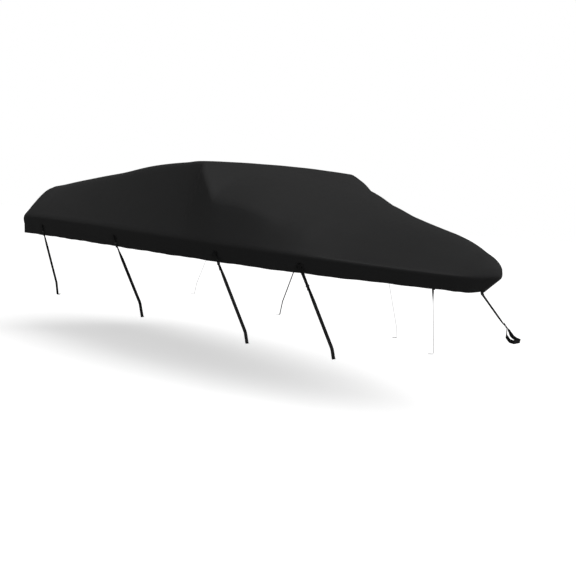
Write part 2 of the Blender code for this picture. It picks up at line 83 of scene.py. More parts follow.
# Cover cloth ------------------------------------------------------------------------------------
# One wide cloth of close plain-woven coated polyester, matt black. It is pulled tight over a
# raised ridge, turns down sharply at the edge crease into a skirt, and ends in a hem of its own
# cloth, turned up and sewn. Only soft, shallow folds are left in it.

# Plan of the edge crease. It is nearly level: it falls a little forward, and lifts at the nose.
LENGTH = 5.19
HALF_WIDTH = 1.04
TAIL_HALF_WIDTH = 1.003
WIDEST_ALONG = 1.86
SIDE_FULLNESS = 1.84  # how far forward the sides stay wide
NOSE_BLUNTNESS = 1.37  # 1 is a pointed nose
SIDES_MEET = 5.18  # where the sides would meet without the rounded tip
NOSE_CAP = 0.16  # length of the rounded tip of the nose
NOSE_CAP_POWER = 1.4  # 1 is a pointed tip, 2 is a round one
CAP_REACH = 1.0  # how far aft the rows of the cloth still bend like the tip
TAIL_CORNER = 0.008
TAIL_CORNER_REACH = 0.06
TAIL_CORNER_POWER = 12  # the rows at the tail bow only close to its corners
CREASE_RISE = 0.02
CREASE_FALL = 0.146
NOSE_LIFT = 0.030
NOSE_LIFT_START = 5.00
NOSE_LIFT_POWER = 1.5

# Sections of the top: where the shoulder lies, its height over the crease, the crown over that,
# how flat the crown stays towards its middle, and how far the side bulges.
SECTION_COLUMNS = ("along", "shoulder", "height", "crown", "fullness", "bulge")
SECTIONS = (
    (0.00, 0.76, 0.280, 0.030, 2.0, 0.032),
    (0.30, 0.73, 0.318, 0.028, 2.0, 0.028),
    (1.40, 0.74, 0.446, 0.031, 2.0, 0.010),
    (2.40, 0.76, 0.568, 0.028, 2.0, 0.000),
    (2.78, 0.80, 0.590, 0.022, 2.0, 0.000),
    (2.88, 0.87, 0.530, 0.069, 3.0, 0.000),
    (3.00, 0.92, 0.425, 0.153, 3.2, 0.000),
    (3.12, 0.95, 0.310, 0.244, 3.3, 0.000),
    (3.30, 0.93, 0.298, 0.232, 3.2, 0.000),
    (3.55, 0.92, 0.250, 0.242, 2.4, 0.000),
    (3.72, 0.90, 0.200, 0.262, 2.1, 0.000),
    (3.90, 0.86, 0.180, 0.240, 1.9, 0.000),
    (4.00, 0.80, 0.172, 0.229, 1.9, 0.000),
    (4.25, 0.71, 0.151, 0.184, 2.0, 0.000),
    (4.70, 0.62, 0.149, 0.108, 2.0, 0.000),
    (5.00, 0.52, 0.160, 0.064, 2.0, 0.000),
)
RIDGE_ALONG = 2.76
MOUNT_DEPTH = 0.0028  # the origin lies this far under the outer side of the cloth
SHOULDER_ROUNDING = 0.06
TAIL_SLOPE = 0.10  # length of the short slope down to the tail's edge
NOSE_ROUNDING = 0.52  # length over which the top rounds down to the nose
NOSE_FULLNESS = 2.0  # 2 is a round nose, and more is fuller

# Skirt: how far it falls below the crease, and how far its hem is drawn in under it.
SKIRT_COLUMNS = ("along", "drop", "tuck")
SKIRT = (
    (0.00, 0.182, 0.010),
    (0.22, 0.182, 0.053),
    (0.60, 0.180, 0.063),
    (2.60, 0.160, 0.063),
    (3.60, 0.147, 0.064),
    (4.40, 0.127, 0.066),
    (4.65, 0.119, 0.070),
    (5.03, 0.114, 0.104),
    (5.12, 0.123, 0.134),
    (5.19, 0.122, 0.160),
)
NOSE_CENTRE = 4.60  # the nose's hem is drawn in towards this place on the middle line
NOSE_BLEND = 0.45
CREASE_LEVEL = 0.08  # levels are shares of the drop, from 0 at the crease to 1 at the hem
CORNER_TURN = 0.065  # the skirt turns round a corner of the plan over this much each way
HEM_SCALLOPS = ((0.55, 0.003, 0.0), (0.21, 0.002, 1.0))  # pitch, lift, phase
SCALLOP_POWER = 4  # the scallops fade out fast above the hem

# Folds of the top: troughs, and ridges where the depth is negative. A side of 0 is both sides.
# Each fold is deepest at its middle and shallowest at its ends.
FOLD_COLUMNS = ("side", "from_along", "from_across", "to_along", "to_across", "depth", "half_width")
FOLDS = (
    (0, 0.35, 0.88, 2.40, 0.92, 0.008, 0.10),
    (0, 0.60, 0.35, 2.20, 0.30, 0.010, 0.30),
    (0, 3.05, 0.55, 4.00, 0.45, 0.008, 0.16),
    (0, 3.25, 0.93, 4.30, 0.88, 0.006, 0.08),
    # Long drag lines of the aft slopes.
    (-1, 0.25, 0.80, 1.75, 0.97, 0.0030, 0.045),
    (-1, 1.10, 0.79, 2.55, 0.94, 0.0026, 0.050),
    (-1, 2.62, 0.86, 1.70, 0.99, -0.0018, 0.035),
    (1, 0.30, 0.79, 1.50, 0.96, 0.0032, 0.050),
    (1, 1.30, 0.82, 2.60, 0.97, 0.0028, 0.045),
    (1, 2.60, 0.84, 1.95, 0.98, -0.0020, 0.030),
    # Slack of the aft top, running to the ridge.
    (-1, 0.16, 0.66, 1.30, 0.42, 0.0030, 0.080),
    (-1, 1.00, 0.58, 2.60, 0.74, 0.0026, 0.070),
    (1, 0.18, 0.62, 1.50, 0.50, 0.0034, 0.090),
    (1, 1.20, 0.34, 2.62, 0.72, 0.0026, 0.080),
    (1, 0.14, 0.10, 0.90, 0.05, 0.0024, 0.070),
    # Gathers that spread from both ends of the ridge.
    (-1, 2.81, 0.84, 3.35, 0.58, 0.0034, 0.036),
    (-1, 2.83, 0.74, 3.22, 0.34, 0.0026, 0.034),
    (-1, 2.72, 0.84, 2.25, 0.60, 0.0026, 0.036),
    (-1, 2.73, 0.88, 2.30, 0.96, -0.0018, 0.028),
    (1, 2.81, 0.85, 3.30, 0.62, 0.0030, 0.034),
    (1, 2.84, 0.70, 3.28, 0.30, 0.0026, 0.038),
    (1, 2.72, 0.83, 2.30, 0.56, 0.0030, 0.038),
    (1, 2.73, 0.89, 2.38, 0.97, -0.0016, 0.026),
    # The long soft lines that run forward to the nose.
    (-1, 3.15, 0.86, 4.45, 0.64, -0.0030, 0.050),
    (-1, 3.40, 0.34, 4.60, 0.16, 0.0034, 0.090),
    (-1, 3.90, 0.80, 4.80, 0.74, 0.0024, 0.036),
    (1, 3.20, 0.84, 4.40, 0.66, -0.0028, 0.048),
    (1, 3.30, 0.46, 4.40, 0.28, 0.0036, 0.085),
    (1, 3.80, 0.86, 4.70, 0.78, 0.0022, 0.034),
    # Small gathers of the nose.
    (-1, 4.62, 0.50, 5.06, 0.26, 0.0024, 0.028),
    (-1, 4.72, 0.82, 5.03, 0.70, 0.0020, 0.022),
    (1, 4.60, 0.42, 5.05, 0.18, 0.0026, 0.028),
    (1, 4.76, 0.78, 5.02, 0.62, 0.0018, 0.022),
    # The corners of the tail.
    (-1, 0.03, 0.98, 0.34, 0.84, 0.0026, 0.022),
    (-1, 0.05, 0.92, 0.42, 0.72, 0.0022, 0.026),
    (1, 0.03, 0.97, 0.36, 0.82, 0.0028, 0.024),
    (1, 0.06, 0.90, 0.44, 0.70, 0.0020, 0.026),
)
FOLD_END = 0.1  # share of a half wave that is left off each end of a fold
# Where the side ties pull: this far along. Each pull draws two folds in over the crease, which
# lean aft and forward, and short lines up the skirt.
TIE_ALONG = (0.42, 1.875, 3.175, 3.945)
DRAWN_LEANS = (-0.13, 0.10)
DRAWN_FROM_ACROSS, DRAWN_TO_ACROSS = 0.995, 0.86
DRAWN_DEPTH, DRAWN_HALF_WIDTH = 0.0022, 0.022
PULL_COLUMNS = ("lean", "depth", "half_width")
PULLS = (
    (-1.15, 0.0011, 0.012),
    (-0.62, -0.0012, 0.010),
    (-0.20, 0.0013, 0.009),
    (0.22, 0.0013, 0.009),
    (0.58, -0.0012, 0.010),
    (1.10, 0.0011, 0.012),
)
PULL_LEVEL = 0.55  # the bars' level, where the lines meet
PULL_SPREAD = 0.085  # how far a line that leans by 1 has spread at the crease
PULL_REACH = 2 * PULL_SPREAD
PULL_FADE = (0.12, 0.8)  # the lines' part of a half wave: its start, and its length
# Slack of the whole top: pitch, bearing in degrees, size, phase.
SLACK_WAVES = ((0.83, 25.0, 0.0009, 0.4), (0.57, -40.0, 0.0007, 1.9), (0.31, 75.0, 0.0004, 3.1))
EDGE_FADE = 0.05  # the folds of the top fade out over this height above the crease

# The tail's cloth rolls out just under its crease, and the skirt is gathered round the nose.
TAIL_ROLL, TAIL_ROLL_REACH, TAIL_ROLL_LEVEL = 0.007, 0.10, 0.5
GATHER_START, GATHER_REACH = 4.86, 0.20
GATHER_SIZE, GATHER_TURNS, GATHER_PHASE = 0.0022, 26, 0.7

# How far the cloth's stiffness rounds the crease each way: at the sides, the tail and the nose.
CREASE_COLUMNS = ("along", "reach")
CREASE_REACH = (
    (0.00, 0.024),
    (0.10, 0.020),
    (0.30, 0.014),
    (4.60, 0.014),
    (4.95, 0.034),
    (5.19, 0.046),
)
CREASE_PASSES, CREASE_PULL = 36, 0.5

# Rows, columns and levels of the fine cloth: start, end and steps of each span.
ROWS = (
    (0.000, 0.012, 5),
    (0.012, 0.12, 14),
    (0.12, 0.40, 10),
    (0.40, 2.40, 56),
    (2.40, 3.20, 48),
    (3.20, 4.60, 48),
    (4.60, 4.94, 18),
    (4.94, LENGTH - NOSE_CAP, 16),
)
COLUMN_SPANS = ((0.0, 0.54, 14), (0.54, 0.66, 8), (0.66, 0.96, 12), (0.96, 1.0, 5))
SHOULDER_COLUMN = 0.60  # this column follows the shoulder
LEVEL_SPANS = ((0.0, 0.08, 4), (0.08, 0.86, 15), (0.86, 0.92, 6), (0.92, 1.0, 5))

# The turned hem, and the seam that holds it.
CLOTH_THICKNESS = 0.0012
HEM_PLIES = 2.2
HEM_TOP_LEVEL = 0.87
HEM_STEP = 0.0005  # the double cloth stands this much proud
HEM_STEP_SPAN = 0.012  # as a share of the drop
SEAM_LEVEL = 0.90
SEAM_DEPTH = 0.0007
SEAM_HALF_WIDTH = 0.012  # as a share of the drop
HEM_RIPPLES = ((0.047, 0.0007, 0.3), (0.031, 0.0004, 1.7))  # pitch, size, phase
RIPPLE_LEVEL, RIPPLE_POWER = 0.62, 1.5
RIPPLE_WANDER, RIPPLE_WANDER_RATE = 0.9, 2.3

# Colours are linear. A noise has its scale per metre and its detail, and a bump its strength and
# its height.
FABRIC_COLOUR = (0.0200, 0.0202, 0.0208, 1.0)
FABRIC_DUST = (0.0300, 0.0298, 0.0290, 1.0)
FABRIC_DUST_SHARE, FABRIC_SHADE_SHARE = 0.30, 0.30
FABRIC_THREAD = 0.0007
FABRIC_SHADES = (700.0, 1.0)
FABRIC_PATCHES, FABRIC_FLECKS = (1.4, 3.0), (38.0, 4.0)
PATCH_SHARE, FLECK_SHARE = 0.7, 0.3
FABRIC_ROUGHNESS = (0.72, 0.90)
FABRIC_SPECULAR = 0.22
FABRIC_SHEEN, FABRIC_SHEEN_ROUGHNESS = 0.04, 0.5
FABRIC_BUMP = (0.35, 0.00025)


def column(table, names, name):
    """One named column of a table."""
    return np.array([row[names.index(name)] for row in table], float)


def smooth(xs, ys, x):
    """The monotone cubic through the points, which never swings past them."""
    step, rise = np.diff(xs), np.diff(ys) / np.diff(xs)
    slope = np.concatenate(([rise[0]], np.zeros(len(xs) - 2), [rise[-1]]))
    for i in range(1, len(xs) - 1):
        if rise[i - 1] * rise[i] > 0:
            before, after = 2 * step[i] + step[i - 1], step[i] + 2 * step[i - 1]
            slope[i] = (before + after) / (before / rise[i - 1] + after / rise[i])
    x = np.clip(x, xs[0], xs[-1])
    i = np.minimum(np.searchsorted(xs, x, side="right") - 1, len(xs) - 2)
    t = (x - xs[i]) / step[i]
    return (
        ys[i] * (1 + 2 * t) * (1 - t) ** 2
        + slope[i] * step[i] * t * (1 - t) ** 2
        + ys[i + 1] * t * t * (3 - 2 * t)
        + slope[i + 1] * step[i] * t * t * (t - 1)
    )


def read_off(table, names, name, along):
    """A column's value at places along, from the smooth line through the table's rows."""
    return smooth(column(table, names, "along"), column(table, names, name), along)


def section(name, along):
    return read_off(SECTIONS, SECTION_COLUMNS, name, along)


def skirt(name, along):
    return read_off(SKIRT, SKIRT_COLUMNS, name, along)


def half_width(along):
    """Half the width between the edge creases."""
    reach = np.clip((along - WIDEST_ALONG) / (SIDES_MEET - WIDEST_ALONG), 0, 1)
    aft = np.clip((WIDEST_ALONG - along) / WIDEST_ALONG, 0, 1)
    corner = np.clip(1 - along / TAIL_CORNER_REACH, 0, 1)
    narrowed = (HALF_WIDTH - TAIL_HALF_WIDTH) * aft**2 + TAIL_CORNER * corner**2
    return HALF_WIDTH * (1 - reach**SIDE_FULLNESS) ** (1 / NOSE_BLUNTNESS) - narrowed


def crease_height(along):
    """Height of the edge crease over its own height at the tail."""
    share = along / LENGTH
    lift = np.clip((along - NOSE_LIFT_START) / (LENGTH - NOSE_LIFT_START), 0, None)
    return CREASE_RISE * share - CREASE_FALL * share**2 + NOSE_LIFT * lift**NOSE_LIFT_POWER


def height_over_crease(along, across):
    """Height of the top over the edge crease: a sloping side, a round shoulder and a low crown."""
    shoulder, height, crown, fullness, bulge = (
        section(name, along) for name in SECTION_COLUMNS[1:]
    )
    out = np.abs(across)
    share = (1 - out) / (1 - shoulder)
    side = height * share + 4 * bulge * share * np.clip(1 - share, 0, None)
    top = height + crown * (1 - (out / shoulder) ** fullness)
    overlap = np.clip(SHOULDER_ROUNDING - np.abs(side - top), 0, None) / SHOULDER_ROUNDING
    body = np.clip(np.minimum(side, top) - overlap**2 * SHOULDER_ROUNDING / 4, 0, None)
    tail = np.clip(along / TAIL_SLOPE, 0, 1)
    nose_start = LENGTH - NOSE_ROUNDING
    nose_end = LENGTH - NOSE_CAP * out**NOSE_CAP_POWER
    nose = np.clip((along - nose_start) / (nose_end - nose_start), 0, 1)
    return body * np.sqrt(1 - (1 - tail) ** 2) * np.sqrt(1 - nose**NOSE_FULLNESS)


def all_folds():
    """The folds of the table, and those that each tie's pull draws in over the crease."""
    across, shape = (DRAWN_FROM_ACROSS, DRAWN_TO_ACROSS), (DRAWN_DEPTH, DRAWN_HALF_WIDTH)
    drawn = [
        (side, along, across[0], along + lean, across[1], *shape)
        for side in (-1, 1)
        for along in TIE_ALONG
        for lean in DRAWN_LEANS
    ]
    return [dict(zip(FOLD_COLUMNS, row)) for row in (*FOLDS, *drawn)]


def fold_depth(along, across):
    """How far the folds and the slack of the cloth lower the top."""
    side = across * half_width(along)
    depth = np.zeros_like(along)
    shown = 1 - 2 * FOLD_END
    for fold in all_folds():
        start = np.array((fold["from_along"], fold["from_across"] * half_width(fold["from_along"])))
        end = np.array((fold["to_along"], fold["to_across"] * half_width(fold["to_along"])))
        run = end - start
        reach = np.abs(side) if fold["side"] == 0 else side * fold["side"]
        share = ((along - start[0]) * run[0] + (reach - start[1]) * run[1]) / (run @ run)
        share = np.clip(share, 0, 1)
        off = np.hypot(along - start[0] - share * run[0], reach - start[1] - share * run[1])
        off = off / fold["half_width"]
        depth += fold["depth"] * np.exp(-off * off) * np.sin(math.pi * (FOLD_END + shown * share))
    for pitch, bearing, size, phase in SLACK_WAVES:
        turn = math.radians(bearing)
        place = (along * math.cos(turn) + side * math.sin(turn)) / pitch
        depth += size * (1 + np.sin(2 * math.pi * place + phase))
    return depth


# The part's frame has its origin this far above the height of the crease at the tail.
RIDGE_RISE = height_over_crease(np.array(RIDGE_ALONG), np.array(0.0))
MOUNT_HEIGHT = float(crease_height(RIDGE_ALONG) + RIDGE_RISE - MOUNT_DEPTH)


def in_frame(along, side, height):
    """Points in the part's frame."""
    return np.stack(np.broadcast_arrays(along - RIDGE_ALONG, side, height - MOUNT_HEIGHT), -1)


def top_points(row_along, across):
    """Points of the top. The rows bow round the tail's corners and round the nose."""
    tip = np.clip((row_along - (LENGTH - NOSE_CAP - CAP_REACH)) / CAP_REACH, 0, None) ** 2
    corner = np.clip(1 - row_along / TAIL_CORNER_REACH, 0, None)
    along = row_along + NOSE_CAP * tip * (1 - np.abs(across) ** NOSE_CAP_POWER)
    along = along + TAIL_CORNER * corner * across**TAIL_CORNER_POWER
    rise = height_over_crease(along, across)
    rise = rise - fold_depth(along, across) * np.clip(rise / EDGE_FADE, 0, 1)
    return in_frame(along, across * half_width(row_along), crease_height(along) + rise)


def across_at(along, share):
    """Where a column lies: the middle columns spread or close up with the shoulder."""
    shoulder = section("shoulder", along)
    past = (np.abs(share) - SHOULDER_COLUMN) / (1 - SHOULDER_COLUMN)
    outer = np.sign(share) * (shoulder + (1 - shoulder) * past)
    return np.where(np.abs(share) <= SHOULDER_COLUMN, shoulder * share / SHOULDER_COLUMN, outer)


def spans(table):
    """The places that divide each span of a table into its steps."""
    places = [table[0][0]]
    for start, end, steps in table:
        places += [start + (end - start) * (i + 1) / steps for i in range(steps)]
    return np.array(places)


def ring_directions(edge):
    """The outward direction at each point of the closed edge, turning softly at its corners."""
    runs = np.roll(edge, -1, 0) - edge
    lengths = np.linalg.norm(runs, axis=1)
    arc = np.concatenate(([0.0], np.cumsum(lengths)))
    turned = np.stack((runs[:, 1], -runs[:, 0]), -1)
    total = np.concatenate(([[0.0, 0.0]], np.cumsum(turned, 0)))
    around = np.concatenate((arc[:-1] - arc[-1], arc, arc[1:] + arc[-1]))
    sums = np.concatenate((total[:-1] - total[-1], total, total[1:] + total[-1]))
    outward = np.zeros((len(edge), 3))
    for axis in (0, 1):
        ahead = np.interp(arc[:-1] + CORNER_TURN, around, sums[:, axis])
        behind = np.interp(arc[:-1] - CORNER_TURN, around, sums[:, axis])
        outward[:, axis] = ahead - behind
    return outward / np.linalg.norm(outward, axis=1, keepdims=True), arc[:-1]


def skirt_points(edge, outward, level, arc):
    """Points of the skirt under points of the crease, drawn in along the outward direction.

    Round the nose they are drawn in towards one place, so that the hem keeps the nose's outline.
    """
    along = edge[:, 0] + RIDGE_ALONG
    ahead = np.stack((along - NOSE_CENTRE, edge[:, 1], np.zeros(len(edge))), -1)
    ahead /= np.linalg.norm(ahead, axis=1, keepdims=True)
    share = np.clip((along - NOSE_CENTRE) / NOSE_BLEND, 0, 1)[:, None]
    inward = outward * (1 - share) + ahead * share
    inward /= np.linalg.norm(inward, axis=1, keepdims=True)
    lowered = skirt("drop", along) * level
    drawn_in = skirt("tuck", along) * max(level - CREASE_LEVEL, 0.0) / (1 - CREASE_LEVEL)
    lift = sum(
        size * (0.5 + 0.5 * np.sin(2 * math.pi * arc / pitch + phase))
        for pitch, size, phase in HEM_SCALLOPS
    )
    down = np.stack((0 * lowered, 0 * lowered, lowered - lift * level**SCALLOP_POWER), -1)
    return edge - inward * drawn_in[:, None] - down


def skirt_relief(edge, level, arc):
    """How far small lines, the hem's step, its seam and its ripples lift the skirt's cloth."""
    along, side = edge[:, 0] + RIDGE_ALONG, edge[:, 1]
    lifted = np.zeros(len(edge))
    for bar_side in (-1, 1):
        for bar_along in TIE_ALONG:
            near = (side * bar_side > 0) & (np.abs(along - bar_along) < PULL_REACH)
            for row in PULLS:
                pull = dict(zip(PULL_COLUMNS, row))
                spread = pull["lean"] * PULL_SPREAD * (PULL_LEVEL - level) / PULL_LEVEL
                off = (along - bar_along - spread) / pull["half_width"]
                fade = math.sin(math.pi * (PULL_FADE[0] + PULL_FADE[1] * level))
                lifted -= near * pull["depth"] * fade * np.exp(-off * off)
    hem_share = min(max((level - HEM_TOP_LEVEL) / HEM_STEP_SPAN, 0.0), 1.0)
    seam_off = (level - SEAM_LEVEL) / SEAM_HALF_WIDTH
    lifted += HEM_STEP * hem_share - SEAM_DEPTH * math.exp(-seam_off * seam_off)
    loose = max((level - RIPPLE_LEVEL) / (1 - RIPPLE_LEVEL), 0.0) ** RIPPLE_POWER
    for pitch, size, phase in HEM_RIPPLES:
        wander = RIPPLE_WANDER * np.sin(arc * RIPPLE_WANDER_RATE + phase)
        lifted += size * loose * np.sin(2 * math.pi * arc / pitch + phase + wander)
    rolled = math.sin(math.pi * min(level / TAIL_ROLL_LEVEL, 1))
    lifted += TAIL_ROLL * np.exp(-((along / TAIL_ROLL_REACH) ** 2)) * rolled
    gathered = np.clip((along - GATHER_START) / GATHER_REACH, 0, 1) * level
    around_nose = np.arctan2(side, along - NOSE_CENTRE)
    lifted += GATHER_SIZE * gathered * np.sin(GATHER_TURNS * around_nose + GATHER_PHASE)
    return lifted


def rounded_crease(points, edge, faces):
    """The points after those close to the crease are drawn evenly together, the closest most."""
    tree = KDTree(len(edge))
    for i, place in enumerate(edge):
        tree.insert(place, i)
    tree.balance()
    off = np.array([tree.find(place)[2] for place in points])
    reach = read_off(CREASE_REACH, CREASE_COLUMNS, "reach", points[:, 0] + RIDGE_ALONG)
    pull = np.clip(1 - off / reach, 0, 1)[:, None] ** 0.5 * CREASE_PULL
    sides = np.array([(face[i], face[(i + 1) % 4]) for face in faces for i in range(4)])
    sides = sides[(pull[sides[:, 0], 0] > 0) | (pull[sides[:, 1], 0] > 0)]
    firsts = np.concatenate((sides[:, 0], sides[:, 1]))
    seconds = np.concatenate((sides[:, 1], sides[:, 0]))
    shares = np.maximum(np.bincount(firsts, minlength=len(points)), 1)[:, None]
    for _ in range(CREASE_PASSES):
        sums = [np.bincount(firsts, points[seconds, axis], len(points)) for axis in range(3)]
        points = points + pull * (np.stack(sums, -1) / shares - points)
    return points


def top_grid():
    """The top's points, their places in the weave, and their numbers by row and column."""
    half = spans(COLUMN_SPANS)
    shares = np.concatenate((-half[:0:-1], half))
    middle = len(shares) // 2
    row_along, share = np.meshgrid(spans(ROWS), shares, indexing="ij")
    grid = top_points(row_along, across_at(row_along, share))
    steps = np.linalg.norm(np.diff(grid, axis=1), axis=2)
    reach = np.concatenate((np.zeros((len(grid), 1)), np.cumsum(steps, 1)), 1)
    weave = np.stack((grid[:, :, 0], reach - reach[:, middle : middle + 1]), -1)
    index = np.arange(row_along.size).reshape(row_along.shape)
    return grid.reshape(-1, 3), weave.reshape(-1, 2), index


def cloth_mesh():
    """The outer surface, with its map of the weave: a grid for the top, and rings for the skirt.

    It comes with a surface to place the other pieces on, the points of the hem and the seam line.
    """
    points, weave, index = top_grid()
    border = np.concatenate(
        (index[:, 0][:-1], index[-1][:-1], index[:, -1][:0:-1], index[0][:0:-1])
    )
    edge, edge_map = points[border], weave[border]
    outward, arc = ring_directions(edge)
    levels = spans(LEVEL_SPANS)[1:]
    rings, ring_maps = [], []
    for level in levels:
        ring = skirt_points(edge, outward, level, arc)
        rings.append(ring + outward * skirt_relief(edge, level, arc)[:, None])
        fallen = np.linalg.norm(ring - edge, axis=1, keepdims=True)
        ring_maps.append(edge_map + outward[:, :2] * fallen)
    a, b, c, d = index[:-1, :-1], index[1:, :-1], index[1:, 1:], index[:-1, 1:]
    faces = np.stack((a, b, c, d), -1).reshape(-1, 4).tolist()
    size = len(border)
    ring_index = [border] + [len(points) + size * i + np.arange(size) for i in range(len(levels))]
    for upper, lower in zip(ring_index, ring_index[1:]):
        faces += np.stack((upper, lower, np.roll(lower, -1), np.roll(upper, -1)), -1).tolist()
    points = np.concatenate([points] + rings)
    weave = np.concatenate([weave] + ring_maps)
    points = rounded_crease(points, edge, faces)
    data = bpy.data.meshes.new("cover_cloth_fine")
    data.from_pydata(points.tolist(), [], faces)
    mesh = bmesh.new()
    mesh.from_mesh(data)
    surface = BVHTree.FromBMesh(mesh)
    mesh.free()
    set_map(data, weave)
    hem_rings = [ring for level, ring in zip(levels, ring_index[1:]) if level >= HEM_TOP_LEVEL]
    hem = np.concatenate(hem_rings).tolist()
    seam = ring_index[1 + int(np.argmin(np.abs(levels - SEAM_LEVEL)))]
    return data, surface, hem, [data.vertices[i].co.copy() for i in seam]


def set_map(data, places):
    """Stores a place in the weave, in metres, for each vertex."""
    layer = data.uv_layers.new(name="weave")
    corners = np.zeros(len(data.loops), np.int32)
    data.loops.foreach_get("vertex_index", corners)
    layer.uv.foreach_set("vector", np.asarray(places, np.float32)[corners].ravel())


def add_piece(name, data, finish):
    piece = bpy.data.objects.new(name, data)
    data.materials.append(finish)
    data.shade_smooth()
    bpy.context.scene.collection.objects.link(piece)
    return piece


def new_group(name, inputs, outputs):
    """An empty shader node group: its tree, its input sockets by name and its output node."""
    tree = bpy.data.node_groups.new(name, "ShaderNodeTree")
    for socket, kind, value in inputs:
        made = tree.interface.new_socket(socket, in_out="INPUT", socket_type=f"NodeSocket{kind}")
        if value is not None:
            made.default_value = value
    for socket, kind in outputs:
        tree.interface.new_socket(socket, in_out="OUTPUT", socket_type=f"NodeSocket{kind}")
    return tree, tree.nodes.new("NodeGroupInput").outputs, tree.nodes.new("NodeGroupOutput").inputs


def calculate(tree, operation, *values):
    """A Math node. Each value is a number or the output of another node."""
    node = tree.nodes.new("ShaderNodeMath")
    node.operation = operation
    for socket, value in zip(node.inputs, values):
        if isinstance(value, (int, float)):
            socket.default_value = value
        else:
            tree.links.new(value, socket)
    return node.outputs[0]


def mottle(tree, places, scale, detail):
    """Noise from 0 to 1 over the given places."""
    noise = tree.nodes.new("ShaderNodeTexNoise")
    noise.inputs["Scale"].default_value = scale
    noise.inputs["Detail"].default_value = detail
    tree.links.new(places, noise.inputs["Vector"])
    return noise.outputs["Fac"]


def colour_between(tree, shader, share, first, second):
    """Colours a surface from the first colour to the second, by a share from 0 to 1."""
    node = tree.nodes.new("ShaderNodeMix")
    node.data_type = "RGBA"
    # The node has sockets for every type of data. Those for colours have these numbers.
    tree.links.new(share, node.inputs[0])
    for socket, colour in zip(node.inputs[6:8], (first, second)):
        socket.default_value = colour
    tree.links.new(node.outputs[2], shader.inputs["Base Color"])


def roughness_between(tree, shader, value, low, high):
    """Makes a surface more or less rough, by a value from 0 to 1."""
    node = tree.nodes.new("ShaderNodeMapRange")
    tree.links.new(value, node.inputs["Value"])
    node.inputs["To Min"].default_value = low
    node.inputs["To Max"].default_value = high
    tree.links.new(node.outputs["Result"], shader.inputs["Roughness"])


def plain_weave_group():
    """Crossing threads: their height, and a shade that changes from thread to thread."""
    tree, given, wanted = new_group(
        "plain_weave",
        (("Weave", "Vector", None), ("Thread", "Float", FABRIC_THREAD)),
        (("Height", "Float"), ("Shade", "Float")),
    )
    split = tree.nodes.new("ShaderNodeSeparateXYZ")
    tree.links.new(given["Weave"], split.inputs[0])
    waves = []
    for axis in (0, 1):
        turns = calculate(tree, "DIVIDE", split.outputs[axis], given["Thread"])
        waves.append(calculate(tree, "SINE", calculate(tree, "MULTIPLY", turns, math.pi)))
    crossed = calculate(tree, "MULTIPLY", waves[0], waves[1])
    tree.links.new(calculate(tree, "MULTIPLY_ADD", crossed, 0.5, 0.5), wanted["Height"])
    tree.links.new(mottle(tree, given["Weave"], *FABRIC_SHADES), wanted["Shade"])
    return tree


def cloth_tone_group():
    """The uneven tone of a large dark cloth: soft patches, small flecks and dust on level parts."""
    tree, given, wanted = new_group(
        "cloth_tone",
        (("Place", "Vector", None), ("Upward", "Float", 0.0)),
        (("Tone", "Float"), ("Dust", "Float")),
    )
    patches = calculate(
        tree, "MULTIPLY", mottle(tree, given["Place"], *FABRIC_PATCHES), PATCH_SHARE
    )
    flecks = calculate(tree, "MULTIPLY", mottle(tree, given["Place"], *FABRIC_FLECKS), FLECK_SHARE)
    both = calculate(tree, "ADD", patches, flecks)
    tree.links.new(both, wanted["Tone"])
    settled = calculate(tree, "MULTIPLY", calculate(tree, "MAXIMUM", given["Upward"], 0.0), both)
    tree.links.new(settled, wanted["Dust"])
    return tree


def place_group(material, tree_group):
    node = material.node_tree.nodes.new("ShaderNodeGroup")
    node.node_tree = tree_group
    return node


def new_material(name):
    material = bpy.data.materials.new(name)
    material.use_nodes = True
    return material, material.node_tree, material.node_tree.nodes["Principled BSDF"]


def bump_into(tree, shader, height, strength, distance):
    bump = tree.nodes.new("ShaderNodeBump")
    bump.inputs["Strength"].default_value = strength
    bump.inputs["Distance"].default_value = distance
    tree.links.new(height, bump.inputs["Height"])
    tree.links.new(bump.outputs["Normal"], shader.inputs["Normal"])


def weave_places(tree):
    node = tree.nodes.new("ShaderNodeUVMap")
    node.uv_map = "weave"
    return node.outputs["UV"]


def fabric_material():
    material, tree, shader = new_material("cover_fabric")
    weave = place_group(material, PLAIN_WEAVE)
    weave.inputs["Thread"].default_value = FABRIC_THREAD
    tree.links.new(weave_places(tree), weave.inputs["Weave"])
    tone = place_group(material, CLOTH_TONE)
    tree.links.new(tree.nodes.new("ShaderNodeTexCoord").outputs["Object"], tone.inputs["Place"])
    facing = tree.nodes.new("ShaderNodeSeparateXYZ")
    tree.links.new(tree.nodes.new("ShaderNodeNewGeometry").outputs["Normal"], facing.inputs[0])
    tree.links.new(facing.outputs["Z"], tone.inputs["Upward"])
    dust = calculate(tree, "MULTIPLY", tone.outputs["Dust"], FABRIC_DUST_SHARE)
    shade = calculate(tree, "MULTIPLY", weave.outputs["Shade"], FABRIC_SHADE_SHARE)
    paler = calculate(tree, "ADD", dust, shade)
    colour_between(tree, shader, paler, FABRIC_COLOUR, FABRIC_DUST)
    roughness_between(tree, shader, tone.outputs["Tone"], *FABRIC_ROUGHNESS)
    shader.inputs["Specular IOR Level"].default_value = FABRIC_SPECULAR
    shader.inputs["Sheen Weight"].default_value = FABRIC_SHEEN
    shader.inputs["Sheen Roughness"].default_value = FABRIC_SHEEN_ROUGHNESS
    bump_into(tree, shader, weave.outputs["Height"], *FABRIC_BUMP)
    return material


PLAIN_WEAVE = plain_weave_group()
CLOTH_TONE = cloth_tone_group()
FABRIC = fabric_material()

